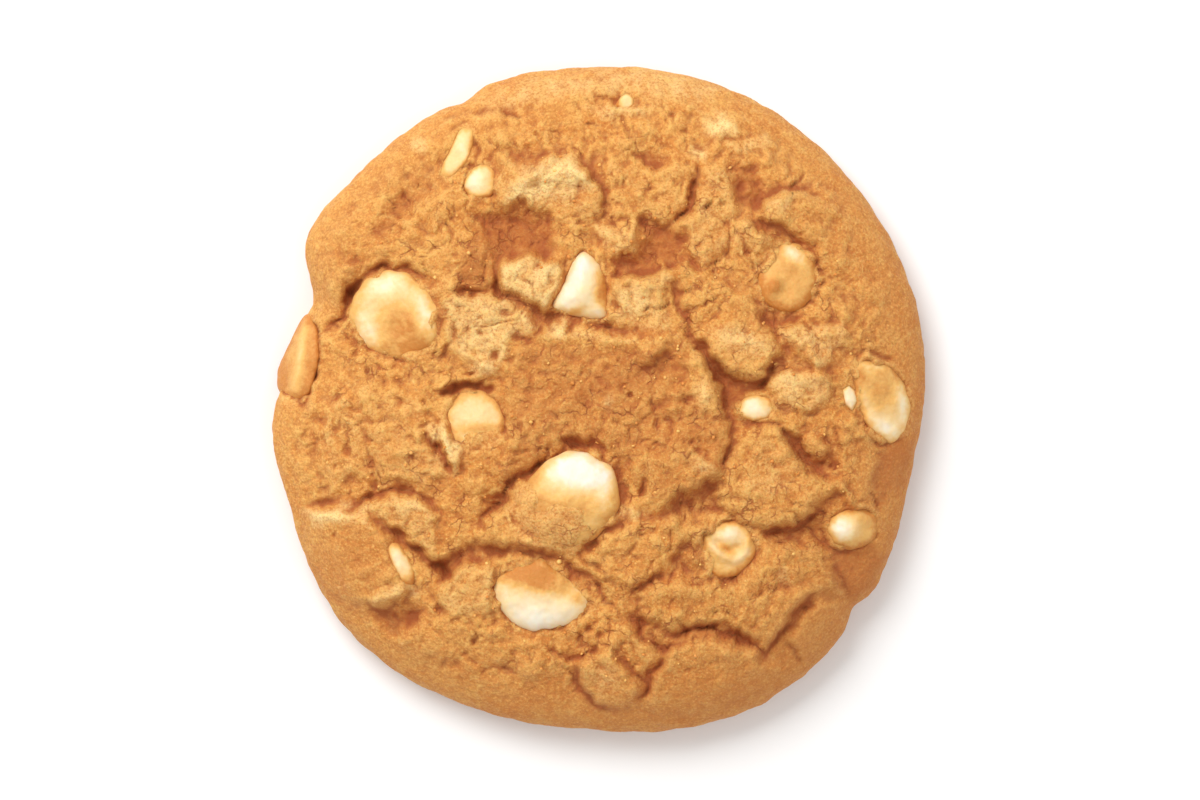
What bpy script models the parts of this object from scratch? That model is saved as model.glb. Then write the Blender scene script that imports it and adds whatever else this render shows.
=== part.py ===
"""A soft-baked cookie with white chocolate chips and pieces of macadamia nut.

Lengths are in metres, written as millimetres times MM. The origin is the middle of the flat underside,
+Z is up, and +X and +Y are the right and the top of the cookie seen from above.
"""

import math

import bmesh
import bpy
import numpy as np
from mathutils import Matrix, Vector

MM = 0.001

# Driving dimensions of the dough

COOKIE_RADIUS = 39.75 * MM
DOUGH_HEIGHT = 13.6 * MM
WIDEST_HEIGHT = 3.4 * MM
UNDERSIDE_INSET = 2.0 * MM
DOME_SPREAD = 2.6
DOME_FULLNESS = 2.2
RELIEF_FADES_FROM = 0.88
PATCH_STEEPNESS = 1.35
SURFACE_CELLS = 56
PROFILE_STEPS = 400

# The gap between a chip or nut and its socket in the dough

SOCKET_GAP = 0.3 * MM

# Swellings and dents of the rim: angle and half width in degrees, and how far they reach in millimetres

RIM_SWELLS = (
    (66, 30, 0.75),
    (106, 8, 0.4),
    (114.5, 2.5, -0.6),
    (149, 8, 0.75),
    (161, 6, -3.2),
    (173, 8, -2.0),
    (199, 9, -0.5),
    (225, 18, 1.3),
    (267, 8, -0.3),
    (299, 21, 1.6),
    (320.5, 2.5, -0.9),
    (346, 12, -1.3),
    (2, 11, -0.5),
)

# Raised patches of dough, all in millimetres: x, y, half length, half width, turn in degrees, height

LUMPS = {
    "smooth_lower_left": (-28.3, -18.2, 7.4, 6.4, 20, 2.0),
    "beside_smooth": (-19.4, -14.4, 2.2, 3.2, -20, 0.9),
    "slab_top": (-5.4, 25.0, 6.8, 4.2, 5, 1.3),
    "pale_above_middle": (-8.4, 13.6, 3.8, 3.4, -20, 1.1),
    "facet_upper_left": (-14.9, 15.4, 2.0, 2.9, 10, 0.9),
    "plate_upper_right": (23.4, 21.8, 5.2, 3.0, -20, 1.1),
    "ridge_top_right": (19.0, 30.2, 3.0, 1.6, -20, 0.6),
    "covered_chip": (16.2, 6.0, 5.6, 3.6, -20, 1.8),
    "nub_right": (28.7, 7.6, 1.8, 1.8, 0, 0.7),
    "nub_inner_right": (22.0, 1.8, 2.3, 1.9, 30, 0.8),
    "middle_plate": (2.0, -0.4, 12.4, 8.0, 0, 1.3),
    "plate_above_middle": (5.4, 11.6, 4.6, 4.6, 0, 0.9),
    "below_nut": (3.0, -19.6, 5.2, 4.4, 10, 1.2),
    "dough_over_nut": (-11.0, -15.2, 5.2, 3.2, 30, 1.2),
    "chunk_bottom": (1.2, -33.0, 4.2, 4.2, 20, 1.2),
    "plate_bottom_right": (13.4, -34.0, 7.6, 4.4, 10, 0.9),
    "plate_lower_right": (14.6, -25.2, 9.4, 3.8, 5, 1.0),
    "plate_right": (19.8, -8.6, 4.8, 5.0, 10, 1.1),
    "left_field": (-27.0, -4.0, 8.0, 7.0, 0, 0.6),
    "right_shoulder": (31.0, 20.0, 5.0, 9.0, 30, 0.5),
}

# Sunken patches, in the same form

HOLLOWS = {
    "above_pale": (-9.6, 18.8, 4.0, 2.2, 0, -1.4),
    "above_plate": (7.2, 18.2, 2.8, 3.0, 20, -1.2),
    "top_right": (17.4, 25.2, 2.0, 3.4, 10, -1.0),
    "beside_small_chip": (16.0, 1.0, 1.7, 2.2, 0, -1.3),
    "below_covered_chip": (23.0, 5.0, 1.8, 1.3, -20, -1.0),
    "lower_left": (-23.2, -25.8, 2.7, 2.0, 0, -1.2),
    "right_rim": (29.4, -20.8, 2.6, 3.6, -15, -1.1),
    "under_pale": (-3.0, 31.0, 6.0, 2.0, -10, -0.4),
}

# Trenches between the plates of dough: half width, depth, then the points they run through, in millimetres

TRENCHES = {
    "around_left_wafer": (1.0, 1.1, (-27.4, 15.8), (-30.4, 12.0), (-31.8, 8.8)),
    "under_left_wafer": (0.9, 1.0, (-29.2, 6.6), (-25.2, 4.2), (-21.2, 4.4), (-17.8, 6.6)),
    "above_middle": (1.0, 1.4, (-13.0, 13.8), (-9.6, 11.6), (-5.0, 9.6), (0.6, 9.2), (3.0, 8.0)),
    "plate_top": (0.8, 1.1, (1.0, 15.0), (7.6, 15.6), (10.0, 16.4), (12.6, 15.0)),
    "slab_right": (0.9, 1.0, (-1.4, 27.8), (0.6, 24.4), (0.4, 21.4)),
    "top_seam": (0.9, 0.9, (11.8, 28.0), (11.0, 24.8), (9.4, 21.8), (7.4, 20.2)),
    "seam_right": (0.9, 1.2, (8.0, 14.4), (9.6, 9.4), (12.8, 4.6), (14.6, -0.6), (15.2, -4.0), (14.8, -8.0)),
    "under_covered_chip": (0.9, 1.1, (12.0, 6.4), (14.6, 2.6), (19.2, 2.4), (21.4, 4.6)),
    "beside_nut": (1.2, 1.4, (-2.0, -4.8), (-8.0, -8.2), (-12.0, -10.6), (-14.2, -14.6)),
    "above_smooth": (1.0, 1.2, (-31.2, -12.2), (-27.0, -11.2), (-21.0, -11.0), (-18.6, -13.4)),
    "smooth_right": (1.0, 1.4, (-24.8, -15.6), (-21.8, -18.2), (-19.4, -20.0), (-15.0, -18.0), (-11.0, -18.0)),
    "above_wafer_low": (0.9, 1.0, (-9.0, -18.4), (-5.0, -18.8), (-1.6, -20.0), (2.0, -24.6)),
    "right_ledge": (0.9, 1.0, (8.8, -12.6), (13.6, -9.6)),
    "far_right_ledge": (0.9, 1.0, (22.2, -3.8), (24.6, -7.4), (27.6, -8.0)),
    "plate_right_foot": (0.9, 1.0, (24.4, -13.8), (22.2, -15.4), (19.6, -15.6)),
    "long_crack": (0.9, 1.5, (5.0, -26.6), (10.4, -27.4), (14.6, -27.2), (19.0, -29.8), (22.0, -27.4), (25.6, -23.2)),
    "chunk_left": (0.9, 1.1, (-6.4, -29.6), (-2.4, -30.4), (0.0, -29.0)),
    "chunk_right": (0.8, 1.1, (7.4, -30.6), (5.4, -34.0)),
    "above_small_nut": (0.7, 0.7, (-3.6, 35.8), (-0.6, 35.6)),
}

# Long shallow unevenness of the dough: wavelength and height in millimetres

WAVES = ((17.0, 0.22), (11.0, 0.20), (7.0, 0.16), (4.6, 0.12))
WAVE_SEED = 4

# Chips and nuts. Middle x and y, half length, half width, half depth and how far the crown stands above
# the dough are in millimetres, and the turn is in degrees. Taper narrows the far end of the length.

CHIPS = {
    "wafer_upper_left": dict(at=(-24.3, 10.1), half=(5.5, 5.3, 2.8), turn=20, rise=1.5, sides=18),
    "pointed_chip": dict(at=(-2.6, 13.2), half=(4.2, 3.1, 2.5), turn=84, rise=2.0, sides=16, taper=0.55),
    "chip_left_middle": dict(at=(-14.5, -2.2), half=(3.6, 3.3, 2.3), turn=0, rise=1.1, sides=14),
    "wafer_lower": dict(at=(-7.0, -23.0), half=(6.0, 4.4, 2.6), turn=-6, rise=1.5, sides=18),
    "wafer_right": dict(at=(34.0, -0.2), half=(5.2, 3.6, 2.4), turn=106, rise=1.0, sides=18),
    "sliver_right": dict(at=(29.2, 0.4), half=(1.6, 0.8, 1.3), turn=100, rise=0.5, sides=10),
    "chip_right_low": dict(at=(30.2, -15.4), half=(3.2, 2.5, 2.0), turn=0, rise=1.1, sides=14),
    "swirl_chip": dict(at=(15.5, -17.8), half=(3.6, 3.3, 2.5), turn=80, rise=1.0, sides=14),
    "chip_upper_right": dict(at=(22.1, 14.5), half=(4.3, 3.7, 2.6), turn=70, rise=1.1, sides=16),
    "chip_top_left": dict(at=(-14.2, 26.2), half=(2.4, 2.3, 1.8), turn=0, rise=0.9, sides=12),
    "small_chip_right": dict(at=(18.5, -1.0), half=(2.3, 1.7, 1.6), turn=8, rise=0.8, sides=12),
    "chip_edge_lower_left": dict(at=(-23.4, -19.6), half=(2.8, 1.0, 1.4), turn=116, rise=0.5, sides=12),
}

NUTS = {
    "nut_middle": dict(at=(-3.9, -12.1), half=(6.4, 5.8, 4.3), turn=30, rise=2.1, sides=18),
    "nut_sliver": dict(at=(-17.2, 29.5), half=(3.7, 1.3, 1.4), turn=62, rise=0.7, sides=12),
    "nut_bit_top": dict(at=(2.8, 35.6), half=(1.2, 0.9, 1.1), turn=-20, rise=0.5, sides=10),
    "nut_left_rim": dict(at=(-37.0, 5.0), half=(5.3, 3.4, 2.8), turn=84, rise=1.1, sides=16),
}

PIECE_WOBBLE = 0.05

# Colours, as linear red, green and blue

DOUGH_COLOUR = (0.70, 0.32, 0.10)
CHIP_COLOUR = (0.90, 0.78, 0.55)
NUT_COLOUR = (0.92, 0.80, 0.60)


def clear_scene():
    for thing in list(bpy.data.objects):
        bpy.data.objects.remove(thing, do_unlink=True)


def new_collection(name):
    made = bpy.data.collections.new(name)
    bpy.context.scene.collection.children.link(made)
    return made


def new_material(name, colour, roughness):
    made = bpy.data.materials.new(name)
    made.use_nodes = True
    shader = made.node_tree.nodes["Principled BSDF"]
    shader.inputs["Base Color"].default_value = (*colour, 1.0)
    shader.inputs["Roughness"].default_value = roughness
    shader.inputs["Metallic"].default_value = 0.0
    return made


def new_object(name, bm, collection, material=None):
    mesh = bpy.data.meshes.new(name)
    bm.to_mesh(mesh)
    bm.free()
    mesh.shade_smooth()
    made = bpy.data.objects.new(name, mesh)
    collection.objects.link(made)
    if material:
        mesh.materials.append(material)
    return made


# The dough

def rim_radius(angle):
    """Distance of the rim from the middle: the mean radius and a bell-shaped swell for each row."""
    reach = np.full_like(angle, COOKIE_RADIUS)
    for middle, half_width, height in RIM_SWELLS:
        away = np.degrees(angle) - middle
        away = (away + 180.0) % 360.0 - 180.0
        reach += height * MM * np.exp(-((away / half_width) ** 2))
    return reach


def dome_height(share):
    """Height of the plain dome at a share of the rim radius: a superellipse above the widest line."""
    inside = np.clip(1.0 - np.abs(share) ** DOME_SPREAD, 0.0, 1.0)
    return WIDEST_HEIGHT + (DOUGH_HEIGHT - WIDEST_HEIGHT) * inside ** (1.0 / DOME_FULLNESS)


def profile(travel):
    """Share of the rim radius and height at a share of the way from the crown to the underside's edge.

    The profile is the dome's superellipse and then a quarter of an ellipse that turns under, walked at
    an even pace.
    """
    swing = np.linspace(0.0, math.pi / 2, PROFILE_STEPS)
    dome_share = np.sin(swing)
    under_share = 1.0 - (UNDERSIDE_INSET / COOKIE_RADIUS) * (1.0 - np.cos(swing))
    under_height = WIDEST_HEIGHT * (1.0 - np.sin(swing))
    share = np.concatenate([dome_share, under_share])
    height = np.concatenate([dome_height(dome_share), under_height])
    steps = np.hypot(np.diff(share) * COOKIE_RADIUS, np.diff(height))
    walked = np.concatenate([[0.0], np.cumsum(steps)])
    walked /= walked[-1]
    return np.interp(travel, walked, share), np.interp(travel, walked, height)


def patch(x, y, middle_x, middle_y, half_length, half_width, turn, height):
    """A turned oval patch, flat in its middle and falling off steeply at its edge."""
    turn = math.radians(turn)
    dx = x - middle_x * MM
    dy = y - middle_y * MM
    along = (dx * math.cos(turn) + dy * math.sin(turn)) / (half_length * MM)
    across = (dy * math.cos(turn) - dx * math.sin(turn)) / (half_width * MM)
    return height * MM * np.exp(-((along**2 + across**2) ** PATCH_STEEPNESS))


def trench(x, y, half_width, depth, *points):
    """A rounded furrow along a chain of straight runs."""
    nearest = np.full_like(x, 1.0)
    for (ax, ay), (bx, by) in zip(points, points[1:]):
        run_x = (bx - ax) * MM
        run_y = (by - ay) * MM
        from_x = x - ax * MM
        from_y = y - ay * MM
        part = np.clip((from_x * run_x + from_y * run_y) / (run_x**2 + run_y**2), 0.0, 1.0)
        nearest = np.minimum(nearest, np.hypot(from_x - part * run_x, from_y - part * run_y))
    return -depth * MM * np.exp(-((nearest / (half_width * MM)) ** 2))


def unevenness(x, y):
    """A sum of long waves, each in its own seeded direction."""
    draw = np.random.default_rng(WAVE_SEED)
    total = np.zeros_like(x)
    for length, height in WAVES:
        heading, start, other = draw.uniform(0.0, 2 * math.pi, 3)
        along = (x * math.cos(heading) + y * math.sin(heading)) / (length * MM) * 2 * math.pi
        across = (y * math.cos(heading) - x * math.sin(heading)) / (length * MM) * 2 * math.pi
        total += height * MM * np.sin(along + start) * np.cos(across + other)
    return total


def relief(x, y):
    """What lumps, hollows, trenches and waves add to the dome. It fades out over the rim."""
    share = np.hypot(x, y) / rim_radius(np.arctan2(y, x))
    total = unevenness(x, y)
    for row in (*LUMPS.values(), *HOLLOWS.values()):
        total += patch(x, y, *row)
    for row in TRENCHES.values():
        total += trench(x, y, *row)
    keep = np.clip((1.0 - share) / (1.0 - RELIEF_FADES_FROM), 0.0, 1.0)
    return total * keep * keep * (3.0 - 2.0 * keep)


def surface_height(x, y):
    """Height of the dough's top at a place."""
    share = np.hypot(x, y) / rim_radius(np.arctan2(y, x))
    return dome_height(share) + relief(x, y)


def square_to_disc(u, v):
    """Polar place of each point of a square, whose square rings become circles."""
    ring = np.maximum(np.abs(u), np.abs(v))
    safe = np.where(ring == 0.0, 1.0, ring)
    wide = np.abs(u) >= np.abs(v)
    along = np.where(wide, u, v) / safe
    across = np.where(wide, v, u) / safe
    turn = math.pi / 4 * across * along
    angle = np.where(wide, turn, math.pi / 2 - turn)
    return ring, angle + np.where(along < 0.0, math.pi, 0.0)


def make_dough(collection, material):
    bm = bmesh.new()
    bmesh.ops.create_grid(bm, x_segments=SURFACE_CELLS, y_segments=SURFACE_CELLS, size=1.0)
    flat = np.array([vertex.co[:] for vertex in bm.verts])
    travel, angle = square_to_disc(flat[:, 0], flat[:, 1])
    share, height = profile(travel)
    reach = rim_radius(angle) * share
    x = reach * np.cos(angle)
    y = reach * np.sin(angle)
    on_top = height >= WIDEST_HEIGHT
    z = height + np.where(on_top, relief(x, y), 0.0)
    for vertex, place in zip(bm.verts, np.stack([x, y, z], axis=1)):
        vertex.co = place
    rim = [edge for edge in bm.edges if edge.is_boundary]
    bmesh.ops.contextual_create(bm, geom=rim)
    bmesh.ops.recalc_face_normals(bm, faces=bm.faces)
    return new_object("cookie_dough", bm, collection, material)


# Chips and nuts

def slope_frame(x, y):
    """Turns +Z to the direction in which the plain dome faces at a place."""
    reach = 1.0 * MM
    angle = np.array([math.atan2(y, x)])
    radius = float(rim_radius(angle)[0])
    near = math.hypot(x, y)
    shares = np.array([near - reach, near + reach]) / radius
    low, high = dome_height(shares)
    fall = math.atan2(low - high, 2 * reach)
    return Matrix.Rotation(fall, 4, Vector((-y, x, 0.0)).normalized())


def make_piece(name, size, order, collection, material=None, grow=0.0):
    """An uneven oval body: a sphere stretched to its half sizes, with a wobbling outline and a taper."""
    half_length, half_width, half_depth = (value * MM + grow for value in size["half"])
    sides = size["sides"]
    bm = bmesh.new()
    bmesh.ops.create_uvsphere(bm, u_segments=sides, v_segments=sides // 2 + 1, radius=1.0)
    for vertex in bm.verts:
        x, y, z = vertex.co
        angle = math.atan2(y, x)
        wobble = math.sin(2 * angle + order) + 0.7 * math.sin(3 * angle + 2 * order)
        swell = 1.0 + PIECE_WOBBLE * wobble
        narrow = 1.0 - size.get("taper", 0.0) * x
        vertex.co = (x * half_length * swell, y * half_width * swell * narrow, z * half_depth)
    made = new_object(name, bm, collection, material)
    x, y = (value * MM for value in size["at"])
    ground = float(surface_height(np.array([x]), np.array([y]))[0])
    lift = (size["rise"] - size["half"][2]) * MM
    frame = slope_frame(x, y)
    facing = frame @ Vector((0.0, 0.0, lift))
    place = Matrix.Translation(Vector((x, y, ground)) + facing)
    made.matrix_world = place @ frame @ Matrix.Rotation(math.radians(size["turn"]), 4, "Z")
    return made


def make_pieces(sizes, collection, cutters, material):
    for order, (name, size) in enumerate(sizes.items()):
        make_piece(name, size, order, collection, material)
        socket = make_piece(name + "_socket", size, order, cutters, grow=SOCKET_GAP)
        socket.hide_render = True
        socket.display_type = "WIRE"


def cut_sockets(dough, cutters):
    cut = dough.modifiers.new("sockets", "BOOLEAN")
    cut.operation = "DIFFERENCE"
    cut.solver = "EXACT"
    cut.operand_type = "COLLECTION"
    cut.collection = cutters


clear_scene()
cookie = new_collection("macadamia_cookie")
sockets = new_collection("sockets")
dough = make_dough(cookie, new_material("baked_dough", DOUGH_COLOUR, 0.75))
make_pieces(CHIPS, cookie, sockets, new_material("white_chocolate", CHIP_COLOUR, 0.45))
make_pieces(NUTS, cookie, sockets, new_material("macadamia", NUT_COLOUR, 0.55))
cut_sockets(dough, sockets)
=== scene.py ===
"""The looks of a soft-baked cookie with white chocolate chips and macadamia nuts.

Lengths are in metres. The sections follow the cookie as it is made: the round of dough and its swell, the
chips and nuts pressed into it, the crust that baked round them, and the loose crumbs that lie on top. The
floor, the light and the camera come last.
"""

import math
from itertools import combinations

import bpy
import numpy as np
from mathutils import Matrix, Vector


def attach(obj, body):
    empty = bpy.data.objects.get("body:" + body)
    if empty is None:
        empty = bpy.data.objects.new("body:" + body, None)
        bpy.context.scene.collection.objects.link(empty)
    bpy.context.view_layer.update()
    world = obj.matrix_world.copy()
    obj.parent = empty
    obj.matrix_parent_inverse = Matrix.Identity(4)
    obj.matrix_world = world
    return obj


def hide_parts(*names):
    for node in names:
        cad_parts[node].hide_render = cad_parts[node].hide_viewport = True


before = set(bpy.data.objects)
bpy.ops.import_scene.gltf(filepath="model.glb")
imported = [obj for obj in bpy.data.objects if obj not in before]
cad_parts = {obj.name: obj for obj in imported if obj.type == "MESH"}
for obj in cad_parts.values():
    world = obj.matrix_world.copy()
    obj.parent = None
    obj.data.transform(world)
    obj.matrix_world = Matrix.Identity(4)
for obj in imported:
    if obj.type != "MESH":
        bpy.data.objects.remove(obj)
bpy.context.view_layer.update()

# The round of dough
# A scoop of dough that spread in the oven to a low dome with a soft, uneven rim and a flat underside. The
# sizes are those of the construction solid. All relief is laid out on one square map that lies over the top.

MM = 0.001
ROUND_RADIUS = 39.75 * MM
DOME_TOP = 13.6 * MM
WIDEST_AT = 3.4 * MM
FOOT_INSET = 2.0 * MM
DOME_SPREAD = 2.6
DOME_FULLNESS = 2.2
MAP_HALF = 43.0 * MM
MAP_STEP = 0.14 * MM

# Swellings and dents of the rim: middle and half width in degrees, reach in millimetres
RIM_SWELLS = (
    (66, 30, 0.75),
    (106, 8, 0.4),
    (114.5, 2.5, -0.6),
    (149, 8, 0.75),
    (161, 6, -3.2),
    (173, 8, -2.0),
    (199, 9, -0.5),
    (225, 18, 1.3),
    (267, 8, -0.3),
    (299, 21, 1.6),
    (320.5, 2.5, -0.9),
    (346, 12, -1.3),
    (2, 11, -0.5),
)


def ease(low, high, value):
    """Smooth step: 0 below low, 1 above high, and t * t * (3 - 2 t) between them."""
    part = np.clip((value - low) / (high - low), 0.0, 1.0)
    return part * part * (3.0 - 2.0 * part)


def rim_reach(angle):
    """Rim distance from the middle: the mean radius and a bell-shaped swell for each row."""
    reach = np.full_like(angle, ROUND_RADIUS)
    for middle, half_width, height in RIM_SWELLS:
        away = (np.degrees(angle) - middle + 180.0) % 360.0 - 180.0
        reach += height * MM * np.exp(-((away / half_width) ** 2))
    return reach


def dome_height(share):
    """Height of the plain dome: a superellipse in the share of the rim distance, above the widest line."""
    inside = np.clip(1.0 - np.abs(share) ** DOME_SPREAD, 0.0, 1.0)
    return WIDEST_AT + (DOME_TOP - WIDEST_AT) * inside ** (1.0 / DOME_FULLNESS)


def rim_share(x, y):
    """Distance from the middle as a share of the rim distance."""
    return np.hypot(x, y) / rim_reach(np.arctan2(y, x))


LATTICE = 256
LATTICE_SHIFT = 20
NOISE_GAIN = 1.6


def drift(x, y, size, seed):
    """Gradient noise between about -1 and 1.

    Each corner of a turned square lattice holds a seeded slope. Round a point, the four slopes are blended
    by 6 t^5 - 15 t^4 + 10 t^3 in both directions.
    """
    draw = np.random.default_rng(seed)
    turn, shift_u, shift_v = draw.uniform(0.0, 2 * math.pi, 3)
    heading = draw.uniform(0.0, 2 * math.pi, (LATTICE, LATTICE))
    u = (x * math.cos(turn) + y * math.sin(turn)) / size + shift_u * LATTICE_SHIFT
    v = (y * math.cos(turn) - x * math.sin(turn)) / size + shift_v * LATTICE_SHIFT
    cell_u = np.floor(u).astype(int)
    cell_v = np.floor(v).astype(int)
    part_u = u - cell_u
    part_v = v - cell_v
    blend_u = part_u**3 * (part_u * (part_u * 6 - 15) + 10)
    blend_v = part_v**3 * (part_v * (part_v * 6 - 15) + 10)

    def corner(step_u, step_v):
        slope = heading[(cell_u + step_u) % LATTICE, (cell_v + step_v) % LATTICE]
        return np.cos(slope) * (part_u - step_u) + np.sin(slope) * (part_v - step_v)

    low = corner(0, 0) * (1 - blend_u) + corner(1, 0) * blend_u
    high = corner(0, 1) * (1 - blend_u) + corner(1, 1) * blend_u
    return NOISE_GAIN * (low * (1 - blend_v) + high * blend_v)


def layered(x, y, *layers):
    """Several noises in one: the sum of height * drift, with sizes in millimetres and a seed for each."""
    return sum(height * drift(x, y, size * MM, seed) for height, size, seed in layers)


def soften(field, spread):
    """The map blurred by a bell curve of this spread, by way of its Fourier transform."""
    across = np.fft.rfftfreq(field.shape[1], MAP_STEP)
    down = np.fft.fftfreq(field.shape[0], MAP_STEP)[:, None]
    keep = np.exp(-2.0 * (math.pi * spread) ** 2 * (across**2 + down**2))
    return np.fft.irfft2(np.fft.rfft2(field) * keep, field.shape)


def read_map(field, x, y):
    """The map's value at each place, straight between its four nearest points."""
    u = np.clip((x + MAP_HALF) / MAP_STEP, 0, field.shape[1] - 2)
    v = np.clip((y + MAP_HALF) / MAP_STEP, 0, field.shape[0] - 2)
    column = u.astype(int)
    row = v.astype(int)
    u = u - column
    v = v - row
    low = field[row, column] * (1 - u) + field[row, column + 1] * u
    high = field[row + 1, column] * (1 - u) + field[row + 1, column + 1] * u
    return low * (1 - v) + high * v


map_line = np.arange(-MAP_HALF, MAP_HALF + MAP_STEP, MAP_STEP)
map_x, map_y = np.meshgrid(map_line, map_line)
map_share = rim_share(map_x, map_y)
plain_dome = dome_height(map_share)

# The swell of the dough
# Where the dough was lumpy in the scoop it baked to raised plates and crags, with scoops between them. Each
# is an outline on the map with a level or sloping top, eased at its edge. Noise bends the edges.

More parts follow.
